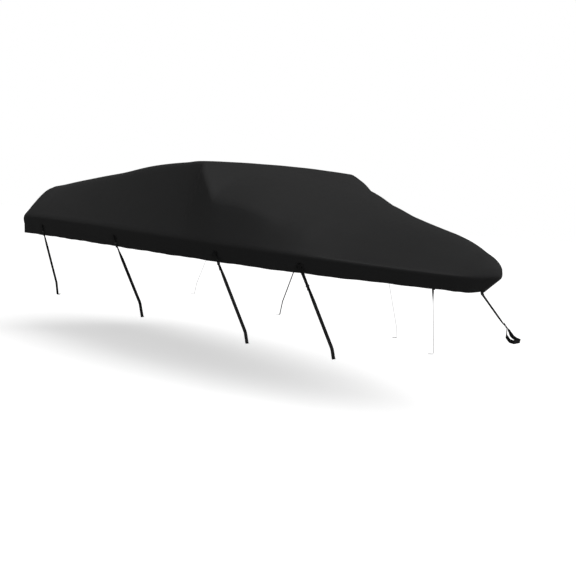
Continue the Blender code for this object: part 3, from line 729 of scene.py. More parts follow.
cloth_data, CLOTH, hem_indices, SEAM_LINE = cloth_mesh()
cover = add_piece("cover_cloth_fine", cloth_data, FABRIC)
plies = cover.vertex_groups.new(name="plies")
plies.add(list(range(len(cloth_data.vertices))), 1 / HEM_PLIES, "REPLACE")
plies.add(hem_indices, 1.0, "REPLACE")
thickness = cover.modifiers.new("thickness", "SOLIDIFY")
thickness.thickness = CLOTH_THICKNESS * HEM_PLIES
thickness.offset = -1
thickness.vertex_group = plies.name
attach(cover, "root")
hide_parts("cover_cloth")


# Hem seam ---------------------------------------------------------------------------------------
# One row of black lockstitch holds the turned hem all the way round. Each stitch is a short
# length of thread that is pulled into the cloth at both of its ends.

STITCH_PITCH = 0.0062
STITCH_LENGTH = 0.0046
STITCH_RADIUS = 0.00042
# Along a stitch: share of its length, and size and height as shares of the thread's radius.
STITCH_STATIONS = (
    (0.0, 0.35, -0.5),
    (0.2, 0.9, 0.5),
    (0.5, 1.0, 0.9),
    (0.8, 0.9, 0.5),
    (1.0, 0.35, -0.5),
)
STITCH_SIDES = ((1, 0), (0, 1), (-1, 0), (0, -1))
THREAD_COLOUR = (0.030, 0.030, 0.031, 1.0)
THREAD_TWIST = 0.0033
THREAD_FLECKS, THREAD_WEAR = (220.0, 2.0), (60.0, 2.0)
THREAD_ROUGHNESS = (0.5, 0.7)
THREAD_BUMP = (0.4, 0.0002)


def resampled(points, pitch, closed=False):
    """Points at an even distance along a line, from its start."""
    line = np.array([tuple(p) for p in points] + ([tuple(points[0])] if closed else []))
    arc = np.concatenate(([0.0], np.cumsum(np.linalg.norm(np.diff(line, axis=0), axis=1))))
    count = max(int(round(arc[-1] / pitch)), 1)
    places = np.linspace(0, arc[-1], count + 1)
    return np.stack([np.interp(places, arc, line[:, axis]) for axis in range(3)], -1)


def tube_faces(first, around, rings, joined=False):
    """Faces over rings of points. The ends are capped, or joined to each other."""
    faces = []
    if not joined:
        last = first + around * (rings - 1)
        faces.append(tuple(range(first, first + around)))
        faces.append(tuple(range(last + around - 1, last - 1, -1)))
    for i in range(rings if joined else rings - 1):
        here, following = first + around * i, first + around * ((i + 1) % rings)
        for j in range(around):
            k = (j + 1) % around
            faces.append((here + j, following + j, following + k, here + k))
    return faces


def closed_mesh(name, points, faces):
    """A mesh with all its faces turned outward."""
    data = bpy.data.meshes.new(name)
    data.from_pydata(points, [], faces)
    mesh = bmesh.new()
    mesh.from_mesh(data)
    bmesh.ops.recalc_face_normals(mesh, faces=mesh.faces)
    mesh.to_mesh(data)
    mesh.free()
    return data


def add_stitches(name, runs, finish):
    """Joined stitches. Each run is a start, an end and the direction away from the cloth."""
    points, faces = [], []
    for start, end, outward in runs:
        run = (end - start).normalized()
        side = run.cross(outward).normalized()
        lift = side.cross(run)
        faces += tube_faces(len(points), len(STITCH_SIDES), len(STITCH_STATIONS))
        for share, size, height in STITCH_STATIONS:
            middle = start.lerp(end, share) + lift * (STITCH_RADIUS * height)
            for x, y in STITCH_SIDES:
                points.append(middle + (side * x + lift * y) * (STITCH_RADIUS * size))
    return add_piece(name, closed_mesh(name, points, faces), finish)


def on_cloth(place):
    """The nearest place of the cloth's outer side, and the direction away from it."""
    spot, normal, _, _ = CLOTH.find_nearest(place)
    return spot, normal


def thread_material():
    material, tree, shader = new_material("sewing_thread")
    places = tree.nodes.new("ShaderNodeTexCoord").outputs["Object"]
    twist = tree.nodes.new("ShaderNodeTexWave")
    twist.inputs["Scale"].default_value = 1 / THREAD_TWIST
    tree.links.new(places, twist.inputs["Vector"])
    flecks = mottle(tree, places, *THREAD_FLECKS)
    colour_between(tree, shader, flecks, THREAD_COLOUR, FABRIC_COLOUR)
    roughness_between(tree, shader, mottle(tree, places, *THREAD_WEAR), *THREAD_ROUGHNESS)
    bump_into(tree, shader, twist.outputs["Fac"], *THREAD_BUMP)
    return material


def seam_runs(line):
    """A stitch for each pitch of the closed seam line."""
    places = resampled(line, STITCH_PITCH, closed=True)
    runs = []
    for here, following in zip(places, places[1:]):
        start, ahead = Vector(here), Vector(following)
        end = start + (ahead - start) * (STITCH_LENGTH / STITCH_PITCH)
        first, normal = on_cloth(start)
        last, _ = on_cloth(end)
        runs.append((first, last, normal))
    return runs


THREAD = thread_material()
hem_seam = add_stitches("hem_seam", seam_runs(SEAM_LINE), THREAD)
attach(hem_seam, "root")


# Side ties --------------------------------------------------------------------------------------
# Flat black webbing. Each tie goes up behind its bar, over it and back down through the slide,
# with its short tail outside. It then runs down, taut and half turned about its own line, to a
# creased end that is folded in.

WEB_WIDTH = 0.025
WEB_THICKNESS = 0.0016
PIECE_GAP = 0.0008
CLOSE_GAP = 0.0006
BAR_RISE = 0.0045

# Tail to nose: the bar's place along and down the skirt, the slide's distance below the bar, the
# free tail past the slide, the place where the straight run of the tie ends, how far the tie's
# end hangs below it, and how far the run turns about its own line, in degrees.
TIE_COLUMNS = ("bar_along", "bar_drop", "slide_down", "tail")
TIE_COLUMNS += ("foot_along", "foot_side", "foot_height", "foot_drop", "twist")
TIES = (
    (0.42, 0.55, 0.045, 0.030, 0.380, 0.800, -0.630, 0.120, 30),
    (1.875, 0.55, 0.045, 0.030, 1.926, 0.762, -0.648, 0.125, 58),
    (3.175, 0.60, 0.078, 0.045, 3.475, 0.762, -0.680, 0.085, 44),
    (3.945, 0.60, 0.150, 0.022, 4.156, 0.502, -0.710, 0.075, 36),
)
TURN_REACH = 0.004  # the tie turns this far above the bar's upper edge
TURN_STEPS = 12
PARTING_REACH = 0.003
TAIL_SHAPE = ((1.0, 0.009), (0.8, 0.0045), (0.45, 0.0012))  # share of the tail, and its stand-off
HEM_CLEARANCE = 0.008
CREASE_STEP = 0.01  # the crease's direction is taken over this length
RUN_STEPS = 24
TWIST_REACH = 0.3  # the run has turned fully after this share of its length
FOOT_LEAN = 0.5  # 0 hangs straight down, 1 goes on along the run
FOOT_TURN = 0.040  # length of the end that is folded in
FOOT_CORNERS = (0.012, 0.008)
BEND_SHARES = (0.0, 0.25, 0.5, 0.75, 1.0)
SLIDE_HEIGHT = 0.012
SLIDE_REACH = 0.6  # the plies run straight this far each way, as a share of the slide's height
PLY_GAP = 0.0006

# One quarter of the web's section: shares of its half width and of its half thickness. The
# selvedge is a little thicker than the web.
WEB_QUARTER = ((1.0, 0.0), (0.988, 0.60), (0.945, 1.0), (0.885, 0.78), (0.45, 0.84))
WEB_STEP = 0.005
WEB_EDGE_ANGLE = 50
WEB_COLOUR = (0.0045, 0.0045, 0.0048, 1.0)
WEB_HIGH_COLOUR = (0.0110, 0.0110, 0.0115, 1.0)
WEB_RIB = 0.0017
WEB_CHEVRON, WEB_CHEVRON_SLANT = 0.0062, 3.2
WEB_WEAR = (90.0, 3.0)
WEB_ROUGHNESS = (0.62, 0.80)
WEB_SPECULAR = 0.3
WEB_BUMP = (0.6, 0.0004)


def webbing_group():
    """Herringbone ribs over the web, and the worn tops of the ribs."""
    tree, given, wanted = new_group(
        "webbing_ribs",
        (("Weave", "Vector", None), ("Rib", "Float", WEB_RIB), ("Chevron", "Float", WEB_CHEVRON)),
        (("Height", "Float"), ("Worn", "Float")),
    )
    split = tree.nodes.new("ShaderNodeSeparateXYZ")
    tree.links.new(given["Weave"], split.inputs[0])
    across = calculate(tree, "DIVIDE", split.outputs[1], given["Chevron"])
    off_middle = calculate(tree, "SUBTRACT", calculate(tree, "FRACT", across), 0.5)
    bent = calculate(tree, "ABSOLUTE", off_middle)
    along = calculate(tree, "DIVIDE", split.outputs[0], given["Rib"])
    turns = calculate(tree, "MULTIPLY_ADD", bent, WEB_CHEVRON_SLANT, along)
    wave = calculate(tree, "SINE", calculate(tree, "MULTIPLY", turns, 2 * math.pi))
    height = calculate(tree, "MULTIPLY_ADD", wave, 0.5, 0.5)
    tree.links.new(height, wanted["Height"])
    worn = calculate(tree, "MULTIPLY", height, mottle(tree, given["Weave"], *WEB_WEAR))
    tree.links.new(worn, wanted["Worn"])
    return tree


def webbing_material():
    material, tree, shader = new_material("webbing")
    ribs = place_group(material, webbing_group())
    ribs.inputs["Rib"].default_value = WEB_RIB
    ribs.inputs["Chevron"].default_value = WEB_CHEVRON
    tree.links.new(weave_places(tree), ribs.inputs["Weave"])
    colour_between(tree, shader, ribs.outputs["Worn"], WEB_COLOUR, WEB_HIGH_COLOUR)
    roughness_between(tree, shader, ribs.outputs["Worn"], *WEB_ROUGHNESS)
    shader.inputs["Specular IOR Level"].default_value = WEB_SPECULAR
    bump_into(tree, shader, ribs.outputs["Height"], *WEB_BUMP)
    return material


def vector(values):
    return Vector([float(x) for x in values])


def heading(points, i):
    """The direction of a route at one of its points."""
    return (points[min(i + 1, len(points) - 1)] - points[max(i - 1, 0)]).normalized()


def square_to(direction, run):
    """The part of a direction that is square to a run, as a unit vector."""
    return (direction - run * direction.dot(run)).normalized()


def carried(points, first_across):
    """The direction across a web at each point of its route, turned as little as the bends need."""
    across, result = first_across.normalized(), []
    for i in range(len(points)):
        across = square_to(across, heading(points, i))
        result.append(across.copy())
    return result


def web_section():
    """The web's outline: places across its width and through its thickness."""
    quarter = [(x * WEB_WIDTH / 2, y * WEB_THICKNESS / 2) for x, y in WEB_QUARTER]
    upper = quarter + [(-x, y) for x, y in reversed(quarter)]
    return upper + [(-x, -y) for x, y in upper[1:-1]]


def add_web(name, points, across, finish):
    """Webbing along a route, with its selvedges, cut square at both ends."""
    fine, wide = [points[0]], [across[0]]
    for i in range(len(points) - 1):
        steps = max(int(round((points[i + 1] - points[i]).length / WEB_STEP)), 1)
        for k in range(1, steps + 1):
            fine.append(points[i].lerp(points[i + 1], k / steps))
            wide.append(across[i].lerp(across[i + 1], k / steps).normalized())
    outline = web_section()
    verts, places, arc = [], [], 0.0
    for i, (middle, width) in enumerate(zip(fine, wide)):
        face = heading(fine, i).cross(width).normalized()
        arc += (middle - fine[max(i - 1, 0)]).length
        for x, y in outline:
            verts.append(middle + width * x + face * y)
            places.append((arc, x))
    data = closed_mesh(name, verts, tube_faces(0, len(outline), len(fine)))
    set_map(data, places)
    web = add_piece(name, data, finish)
    data.set_sharp_from_angle(angle=math.radians(WEB_EDGE_ANGLE))
    return web, fine


def on_skirt(along, level, side):
    """A place on the skirt, and the direction away from it."""
    here, ahead = (
        vector(in_frame(place, side * half_width(place), crease_height(place)))
        for place in (along, along + CREASE_STEP)
    )
    run = ahead - here
    outward = Vector((run.y, -run.x, 0)).normalized() * -side
    low = skirt_points(np.array([here]), np.array([outward]), level, np.zeros(1))
    return on_cloth(vector(low[0]))


def bend(before, corner, after, radius):
    """Points of a small rounded bend at a corner of a route."""
    back, on = (before - corner).normalized(), (after - corner).normalized()
    start, end = corner + back * radius, corner + on * radius
    return [start.lerp(corner, t).lerp(corner.lerp(end, t), t) for t in BEND_SHARES]


def tie_head(tie, side):
    """A tie's tail, its turn over the bar and its way through the slide.

    It comes with the place where the tie's run ends, and the places and axes of bar and slide.
    """
    spot, outward = on_skirt(tie["bar_along"], tie["bar_drop"], side)
    foot = vector(in_frame(tie["foot_along"], side * tie["foot_side"], tie["foot_height"]))
    down = square_to(foot - spot, outward)
    across = outward.cross(down).normalized()
    middle = WEB_THICKNESS / 2 + PIECE_GAP + BAR_RISE
    reach = middle - WEB_THICKNESS / 2 - CLOSE_GAP
    top = -(WEB_WIDTH / 2 + TURN_REACH)
    bottom = WEB_WIDTH / 2 + PARTING_REACH
    below = spot + down * bottom + outward * middle
    # The two plies run straight for the foot, or down the skirt where the hem is in the way.
    run = (foot - below).normalized()
    over_hem = run.dot(outward) < 0
    if over_hem:
        run = down
    off = run.cross(across).normalized()
    if off.dot(outward) < 0:
        off.negate()
    half_gap = (WEB_THICKNESS + PLY_GAP) / 2

    def at_bar(distance, stand):
        return spot + down * distance + outward * (middle + stand)

    def at_slide(distance, stand):
        return below + run * (distance - bottom) + off * stand

    start = tie["slide_down"] - SLIDE_HEIGHT * SLIDE_REACH
    end = tie["slide_down"] + SLIDE_HEIGHT * SLIDE_REACH
    points = [at_slide(end + tie["tail"] * share, half_gap + rise) for share, rise in TAIL_SHAPE]
    points += [at_slide(end, half_gap), at_slide(start, half_gap)]
    points += [at_bar(bottom, reach), at_bar(top, reach)]
    turn = Matrix.Rotation(math.pi / TURN_STEPS, 3, across)
    if (turn @ outward).dot(down) > 0:
        turn.transpose()
    stand = outward * reach
    for _ in range(TURN_STEPS - 1):
        stand = turn @ stand
        points.append(at_bar(top, 0.0) + stand)
    points += [at_bar(top, -reach), at_bar(bottom, -reach)]
    points += [at_slide(start, -half_gap), at_slide(end, -half_gap)]
    if over_hem:
        hem, _ = on_skirt(tie["bar_along"], 1.0, side)
        hem_run = (hem - spot).length + HEM_CLEARANCE
        if hem_run > end + WEB_THICKNESS:
            points.append(at_slide(hem_run, -half_gap))
    slide = (at_slide(tie["slide_down"], 0.0), across, off)
    return points, foot, (spot, across, outward, down), slide


def tie_route(tie, side):
    """The whole route of a tie with its widths, and the places and axes of its bar and slide."""
    points, foot, bar, slide = tie_head(tie, side)
    last, first_turned = points[-1], len(points)
    points += [last.lerp(foot, step / RUN_STEPS) for step in range(1, RUN_STEPS)]
    slant = (foot - last).normalized()
    hanging = (slant * FOOT_LEAN - Vector((0, 0, 1 - FOOT_LEAN))).normalized()
    low = foot + hanging * tie["foot_drop"]
    points += bend(last, foot, low, FOOT_CORNERS[0])
    widths = carried(points, bar[1])
    for i in range(first_turned, len(points)):
        share = min((points[i] - last).length / (foot - last).length / TWIST_REACH, 1.0)
        angle = side * math.radians(tie["twist"]) * share * share * (3 - 2 * share)
        widths[i] = Matrix.Rotation(angle, 3, slant) @ widths[i]
    # The end is folded towards the middle, square to the web's own width.
    width = square_to(widths[-1], hanging)
    inward = hanging.cross(width)
    if inward.y * side > 0:
        inward.negate()
    end_point = low + inward * FOOT_TURN
    fold = bend(foot, low, end_point, FOOT_CORNERS[1]) + [end_point]
    return points + fold, widths + [width] * len(fold), bar, slide


WEBBING = webbing_material()
ties = []
for side_name, side in (("starboard", -1), ("port", 1)):
    for number, row in enumerate(TIES, 1):
        points, widths, bar_place, slide_place = tie_route(dict(zip(TIE_COLUMNS, row)), side)
        web, line = add_web(f"tie_web_{side_name}_{number}", points, widths, WEBBING)
        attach(web, "root")
        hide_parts(f"tie_{side_name}_{number}")
        ties.append((side_name, number, web, line, bar_place, slide_place))


# Sewn bars --------------------------------------------------------------------------------------
# A short length of the same webbing for each tie, laid level on the skirt. Both ends are sewn
# flat with a boxed cross of stitches, and the middle stands off so that the tie can pass behind.

BAR_LENGTH = 0.070
# Half of the bar: shares of its length from its middle, and shares of its full rise.
BAR_HALF = ((0.14, 1.0), (0.18, 0.86), (0.22, 0.55), (0.26, 0.18), (0.30, 0.0), (0.50, 0.0))
BAR_SHAPE = [(-share, rise) for share, rise in reversed(BAR_HALF)] + list(BAR_HALF)
BOX_ALONG = (0.32, 0.48)  # the sewn box, as shares of the bar's length from its middle
BOX_HALF_WIDTH = 0.0088
BAR_STITCH_PITCH = 0.0028
BAR_STITCH_SHARE = 0.8


def bar_point(spot, across, outward, share, rise):
    """The middle of the web at a share of the bar's length from its middle."""
    base, _ = on_cloth(spot + across * (BAR_LENGTH * share))
    return base + outward * (WEB_THICKNESS / 2 + PIECE_GAP + BAR_RISE * rise)


def box_stitches(spot, across, outward, down):
    """The stitches of both sewn boxes of a bar, on its outer face."""
    runs = []
    for end in (-1, 1):
        near, far = (
            bar_point(spot, across, outward, end * share, 0.0) + outward * (WEB_THICKNESS / 2)
            for share in BOX_ALONG
        )
        corners = [near - down * BOX_HALF_WIDTH, far - down * BOX_HALF_WIDTH]
        corners += [far + down * BOX_HALF_WIDTH, near + down * BOX_HALF_WIDTH]
        lines = list(zip(corners, corners[1:] + corners[:1]))
        lines += [(corners[0], corners[2]), (corners[1], corners[3])]
        for start, finish in lines:
            places = [Vector(place) for place in resampled((start, finish), BAR_STITCH_PITCH)]
            for here, following in zip(places, places[1:]):
                runs.append((here, here.lerp(following, BAR_STITCH_SHARE), outward))
    return runs


bars, bar_runs = [], []
for side_name, number, _, _, (spot, across, outward, down), _ in ties:
    points = [bar_point(spot, across, outward, share, rise) for share, rise in BAR_SHAPE]
    bar, _ = add_web(f"bar_web_{side_name}_{number}", points, carried(points, down), WEBBING)
    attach(bar, "root")
    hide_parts(f"bar_{side_name}_{number}")
    bars.append(bar)
    bar_runs += box_stitches(spot, across, outward, down)
bar_stitches = add_stitches("bar_stitches", bar_runs, THREAD)
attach(bar_stitches, "root")


# Slides -----------------------------------------------------------------------------------------
# A flat ring of moulded plastic round both plies of each tie, satin black, with rounded rims and
# three raised grip ribs on its outer face.

SLIDE_WALL = 0.0020
SLIDE_ROOM = 0.0008
SLIDE_BORE_CORNER, SLIDE_CORNER, CORNER_STEPS = 0.0005, 0.0018, 4
SLIDE_RIM, RIM_ROUND = 0.0007, 0.3  # the rim's size, and the share of it that its middle cuts off
SLIDE_EDGE_ANGLE = 40
RIB_PLACES = (0.0030, 0.0, -0.0030)
RIB_HEIGHT = 0.0005
RIB_HALF_FOOT, RIB_HALF_CREST = 0.0009, 0.0004
RIB_SETBACK = 0.001  # the ribs end this far inside the web's room
PLASTIC_COLOUR = (0.024, 0.024, 0.025, 1.0)
PLASTIC_SCUFF, PLASTIC_SCUFF_POWER = (0.060, 0.060, 0.062, 1.0), 5.0
PLASTIC_SCUFFS, PLASTIC_GRAIN = (260.0, 5.0), (2200.0, 2.0)
PLASTIC_ROUGHNESS = (0.30, 0.52)
PLASTIC_BUMP = (0.25, 0.0001)


def rounded_rectangle(width, depth, radius, steps):
    """Points round a rectangle whose corners are arcs."""
    points = []
    for right, up, start in ((1, 1, 0), (-1, 1, 90), (-1, -1, 180), (1, -1, 270)):
        for i in range(steps + 1):
            angle = math.radians(start + 90 * i / steps)
            x = right * (width / 2 - radius) + radius * math.cos(angle)
            points.append((x, up * (depth / 2 - radius) + radius * math.sin(angle)))
    return points


def plastic_material():
    material, tree, shader = new_material("slide_plastic")
    places = tree.nodes.new("ShaderNodeTexCoord").outputs["Object"]
    scuffs = mottle(tree, places, *PLASTIC_SCUFFS)
    scuffed = calculate(tree, "POWER", scuffs, PLASTIC_SCUFF_POWER)
    colour_between(tree, shader, scuffed, PLASTIC_COLOUR, PLASTIC_SCUFF)
    roughness_between(tree, shader, scuffs, *PLASTIC_ROUGHNESS)
    bump_into(tree, shader, mottle(tree, places, *PLASTIC_GRAIN), *PLASTIC_BUMP)
    return material


def slide_profile():
    """The ring's section: the wall's thickness so far out, and the height, outside and inside."""
    half = SLIDE_HEIGHT / 2
    cut = RIM_ROUND * SLIDE_RIM
    rim = [
        (SLIDE_WALL - SLIDE_RIM, half),
        (SLIDE_WALL - cut, half - cut),
        (SLIDE_WALL, half - SLIDE_RIM),
    ]
    profile = list(rim)
    for place in RIB_PLACES:
        rib = ((0.0, RIB_HALF_FOOT), (RIB_HEIGHT, RIB_HALF_CREST))
        rib += ((RIB_HEIGHT, -RIB_HALF_CREST), (0.0, -RIB_HALF_FOOT))
        profile += [(SLIDE_WALL + rise, place + height) for rise, height in rib]
    profile += [(wall, -height) for wall, height in reversed(rim)]
    lower = [(SLIDE_RIM, -half), (0.0, SLIDE_RIM - half)]
    return profile + lower + [(wall, -height) for wall, height in reversed(lower)]


def slide_mesh(name, middle, across, outward):
    """The ring is a closed strip of loops that goes down its outside and back up its inside."""
    width = WEB_WIDTH + 2 * SLIDE_ROOM
    depth = 2 * WEB_THICKNESS + PLY_GAP + 2 * SLIDE_ROOM
    axis = across.cross(outward)
    profile, points = slide_profile(), []
    for wall, height in profile:
        plain = min(wall, SLIDE_WALL)
        radius = SLIDE_BORE_CORNER + (SLIDE_CORNER - SLIDE_BORE_CORNER) * plain / SLIDE_WALL
        outline = rounded_rectangle(width + 2 * plain, depth + 2 * plain, radius, CORNER_STEPS)
        for x, y in outline:
            ribbed = y > 0 and abs(x) < width / 2 - RIB_SETBACK
            stand = y + (wall - plain if ribbed else 0.0)
            points.append(middle + across * x + outward * stand + axis * height)
    around = len(points) // len(profile)
    return closed_mesh(name, points, tube_faces(0, around, len(profile), joined=True))


PLASTIC = plastic_material()
for side_name, number, web, line, _, (middle, across, outward) in ties:
    name = f"slide_ring_{side_name}_{number}"
    slide = add_piece(name, slide_mesh(name, middle, across, outward), PLASTIC)
    slide.data.set_sharp_from_angle(angle=math.radians(SLIDE_EDGE_ANGLE))
    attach(slide, "root")
    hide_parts(f"slide_{side_name}_{number}")


# Nose tab and nose tie --------------------------------------------------------------------------
# A small tab of the cover's own cloth, gathered and sewn to the lowest place of the nose's hem.
# A tie of the same webbing as the others is sewn to it, and ends in a loop that stands open.

TAB_SIDE = 0.010
TAB_LEVEL = 0.7  # the skirt's slope at the nose is taken from here down to the hem
TAB_COLUMNS = ("down", "stand_off", "half_width")
TAB = (
    (-0.020, 0.0026, 0.019),
    (-0.006, 0.0026, 0.017),
    (0.003, 0.0042, 0.0145),
    (0.006, 0.0120, 0.0135),
    (0.008, 0.0230, 0.0135),
)
TAB_THICKNESS = 0.0015
TAB_ROWS, TAB_HALF_COLUMNS = 16, 14
TAB_NEAR = 0.001  # the tab's own slope is taken over this length each way
TAB_PLEATS, TAB_PLEAT_DEPTH, TAB_PLEAT_START = 3.5, 0.0006, 0.02
TAB_SEWN_ROW = 3  # the tie is sewn to the tab from this row of the table on

# The tie's places, and the directions across its width there.
NOSE_TIE_COLUMNS = ("along", "side", "height", "width_x", "width_y", "width_z")
NOSE_TIE = (
    (5.267, -0.003, -0.426, -0.50, 0.71, -0.50),
    (5.281, -0.014, -0.447, -0.45, 0.40, -0.75),
    (5.293, -0.027, -0.474, -0.27, 0.00, -0.96),
    (5.324, -0.029, -0.499, -0.10, 0.00, -0.99),
    (5.360, -0.027, -0.502, -0.15, 0.00, -0.99),
    (5.364, 0.027, -0.495, -0.15, 0.00, -0.99),
    (5.326, 0.029, -0.489, -0.10, 0.00, -0.99),
    (5.293, 0.027, -0.474, -0.27, 0.00, -0.96),
    (5.282, 0.012, -0.444, -0.45, 0.40, -0.75),
    (5.269, 0.000, -0.421, -0.50, 0.71, -0.50),
    (5.243, -0.002, -0.395, -0.50, 0.71, -0.50),
)
NOSE_CORNER = 0.006
NOSE_RUN_STEPS = 16
# Of the twist between the tab and the loop, a little is near the tab, and most near the loop.
EARLY_TWIST, EARLY_TWIST_END, LATE_TWIST_POWER = 0.12, 0.25, 8


def nose_axes():
    """The lowest place of the nose's hem, and the directions down and away from the skirt there."""
    tip = np.array([in_frame(LENGTH, TAB_SIDE, crease_height(LENGTH))])
    ahead = np.array([(1.0, 0.0, 0.0)])
    low, high = (
        vector(skirt_points(tip, ahead, level, np.zeros(1))[0]) for level in (1.0, TAB_LEVEL)
    )
    down = (low - high).normalized()
    outward = Vector((0, 1, 0)).cross(down).normalized()
    return low, down, outward if outward.x > 0 else -outward


def tab_mesh(low, down, outward):
    """The tab's outer face, with soft pleats that run down it."""
    width = Vector((0, 1, 0))
    falls, stands, halves = (column(TAB, TAB_COLUMNS, name) for name in TAB_COLUMNS)
    runs = np.concatenate(([0.0], np.cumsum(np.hypot(np.diff(falls), np.diff(stands)))))

    def change(values, run):
        return float(smooth(runs, values, run + TAB_NEAR) - smooth(runs, values, run - TAB_NEAR))

    points, places = [], []
    for run in np.linspace(0, runs[-1], TAB_ROWS + 1):
        fall, stand, half = (float(smooth(runs, values, run)) for values in (falls, stands, halves))
        hanging = down * change(falls, run) + outward * change(stands, run)
        off = square_to(outward, hanging.normalized())
        for share in np.linspace(-1, 1, 2 * TAB_HALF_COLUMNS + 1):
            spot = low + down * fall + width * (half * share)
            if fall < 0:
                spot = on_cloth(spot)[0]
            pleat = TAB_PLEAT_DEPTH * (1 - share * share) * math.sin(math.pi * TAB_PLEATS * share)
            pleat *= min(run / TAB_PLEAT_START, 1.0)
            points.append(spot + outward * stand + off * pleat)
            places.append((run, half * share))
    columns = 2 * TAB_HALF_COLUMNS + 1
    faces = [
        (i * columns + j, i * columns + j + 1, (i + 1) * columns + j + 1, (i + 1) * columns + j)
        for i in range(TAB_ROWS)
        for j in range(columns - 1)
    ]
    data = bpy.data.meshes.new("nose_tab_fine")
    data.from_pydata(points, [], faces)
    set_map(data, places)
    return data


def nose_route(low, down, outward):
    """The tie starts flat on the tab, and then twists as it runs to its loop."""
    width = Vector((0, 1, 0))
    sewn = (TAB_THICKNESS + WEB_THICKNESS) / 2 + CLOSE_GAP + TAB_PLEAT_DEPTH
    places = [low + down * fall + outward * stand for fall, stand, _ in TAB[TAB_SEWN_ROW:]]
    off = square_to(outward, (places[1] - places[0]).normalized())
    places = [place + off * sewn for place in places]
    widths = [width, width]
    for row in NOSE_TIE:
        place = dict(zip(NOSE_TIE_COLUMNS, row))
        places.append(vector(in_frame(place["along"], place["side"], place["height"])))
        widths.append(Vector((place["width_x"], place["width_y"], place["width_z"])))
    shares = [step / NOSE_RUN_STEPS for step in range(1, NOSE_RUN_STEPS)]
    places[2:2] = [places[1].lerp(places[2], share) for share in shares]
    turns = [
        EARLY_TWIST * min(share / EARLY_TWIST_END, 1) + (1 - EARLY_TWIST) * share**LATE_TWIST_POWER
        for share in shares
    ]
    widths[2:2] = [widths[1].lerp(widths[2], turn) for turn in turns]
    points, across = [places[0]], [widths[0]]
    for i in range(1, len(places) - 1):
        corner = bend(places[i - 1], places[i], places[i + 1], NOSE_CORNER)
        points += corner
        across += [widths[i]] * len(corner)
    points.append(places[-1])
    across.append(widths[-1])
    return points, [square_to(wide, heading(points, i)) for i, wide in enumerate(across)]


nose_low, nose_down, nose_outward = nose_axes()
tab = add_piece("nose_tab_fine", tab_mesh(nose_low, nose_down, nose_outward), FABRIC)
tab_thickness = tab.modifiers.new("thickness", "SOLIDIFY")
tab_thickness.thickness = TAB_THICKNESS
tab_thickness.offset = 0
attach(tab, "root")
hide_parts("nose_tab")

nose_points, nose_widths = nose_route(nose_low, nose_down, nose_outward)
nose_web, nose_line = add_web("nose_tie_web", nose_points, nose_widths, WEBBING)
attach(nose_web, "root")
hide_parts("nose_tie")


# Floor and light --------------------------------------------------------------------------------
# A plain pale floor, and soft light from high and low ahead and a little from the right. The
# slopes that face ahead are the lightest, the level tops are darker and the skirt is darkest.

FLOOR_HEIGHT = -1.77
FLOOR_RADIUS, FLOOR_SIDES = 60.0, 96
FLOOR_COLOUR = (0.80, 0.80, 0.80, 1.0)
FLOOR_RETURN = (0.30, 0.30, 0.30, 1.0)  # what the floor sends back up to the object
FLOOR_GLOW = 0.62
BACKGROUND = (1.0, 1.0, 1.0, 1.0)
BACKGROUND_SEEN = 1.0
BACKGROUND_LIGHT = 0.02
# Name, direction towards the lamp, strength, and spread in degrees.
LAMPS = (
    ("light_ahead", (0.70, 0.00, 0.70), 1.82, 50.0),
    ("light_right", (0.50, -0.50, 0.70), 0.50, 50.0),
    ("light_low", (0.85, -0.10, 0.50), 0.64, 50.0),
)


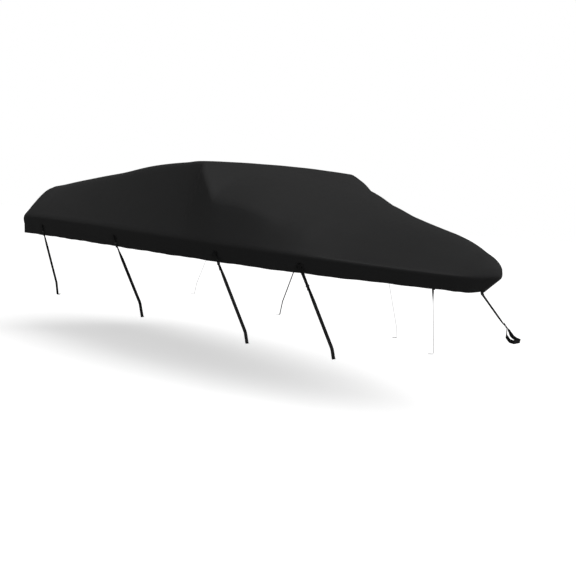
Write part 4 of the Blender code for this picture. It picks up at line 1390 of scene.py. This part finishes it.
def pale_floor():
    mesh = bmesh.new()
    bmesh.ops.create_circle(mesh, cap_ends=True, segments=FLOOR_SIDES, radius=FLOOR_RADIUS)
    data = bpy.data.meshes.new("floor")
    mesh.to_mesh(data)
    mesh.free()
    material = bpy.data.materials.new("floor_pale")
    material.use_nodes = True
    tree = material.node_tree
    tree.nodes.clear()
    seen, returned = (tree.nodes.new("ShaderNodeBsdfDiffuse") for _ in range(2))
    seen.inputs["Color"].default_value = FLOOR_COLOUR
    returned.inputs["Color"].default_value = FLOOR_RETURN
    glow = tree.nodes.new("ShaderNodeEmission")
    glow.inputs["Strength"].default_value = FLOOR_GLOW
    bright = tree.nodes.new("ShaderNodeAddShader")
    tree.links.new(seen.outputs[0], bright.inputs[0])
    tree.links.new(glow.outputs[0], bright.inputs[1])
    choose = tree.nodes.new("ShaderNodeMixShader")
    tree.links.new(tree.nodes.new("ShaderNodeLightPath").outputs["Is Camera Ray"], choose.inputs[0])
    tree.links.new(returned.outputs[0], choose.inputs[1])
    tree.links.new(bright.outputs[0], choose.inputs[2])
    tree.links.new(choose.outputs[0], tree.nodes.new("ShaderNodeOutputMaterial").inputs["Surface"])
    floor = add_piece("floor", data, material)
    floor.location.z = FLOOR_HEIGHT
    return floor


def white_surroundings():
    """White to look at, and a weaker light on the object, so that the lamps shape it."""
    world = bpy.data.worlds.new("surroundings")
    world.use_nodes = True
    bpy.context.scene.world = world
    tree = world.node_tree
    tree.nodes.clear()
    seen, light = (tree.nodes.new("ShaderNodeBackground") for _ in range(2))
    for node, strength in ((seen, BACKGROUND_SEEN), (light, BACKGROUND_LIGHT)):
        node.inputs["Color"].default_value = BACKGROUND
        node.inputs["Strength"].default_value = strength
    path = tree.nodes.new("ShaderNodeLightPath")
    choose = tree.nodes.new("ShaderNodeMixShader")
    tree.links.new(path.outputs["Is Camera Ray"], choose.inputs[0])
    tree.links.new(light.outputs[0], choose.inputs[1])
    tree.links.new(seen.outputs[0], choose.inputs[2])
    tree.links.new(choose.outputs[0], tree.nodes.new("ShaderNodeOutputWorld").inputs["Surface"])


def add_lamp(name, towards, strength, spread):
    data = bpy.data.lights.new(name, "SUN")
    data.energy = strength
    data.angle = math.radians(spread)
    lamp = bpy.data.objects.new(name, data)
    lamp.rotation_mode = "QUATERNION"
    lamp.rotation_quaternion = Vector(towards).to_track_quat("Z", "Y")
    bpy.context.scene.collection.objects.link(lamp)


pale_floor()
white_surroundings()
for row in LAMPS:
    add_lamp(*row)
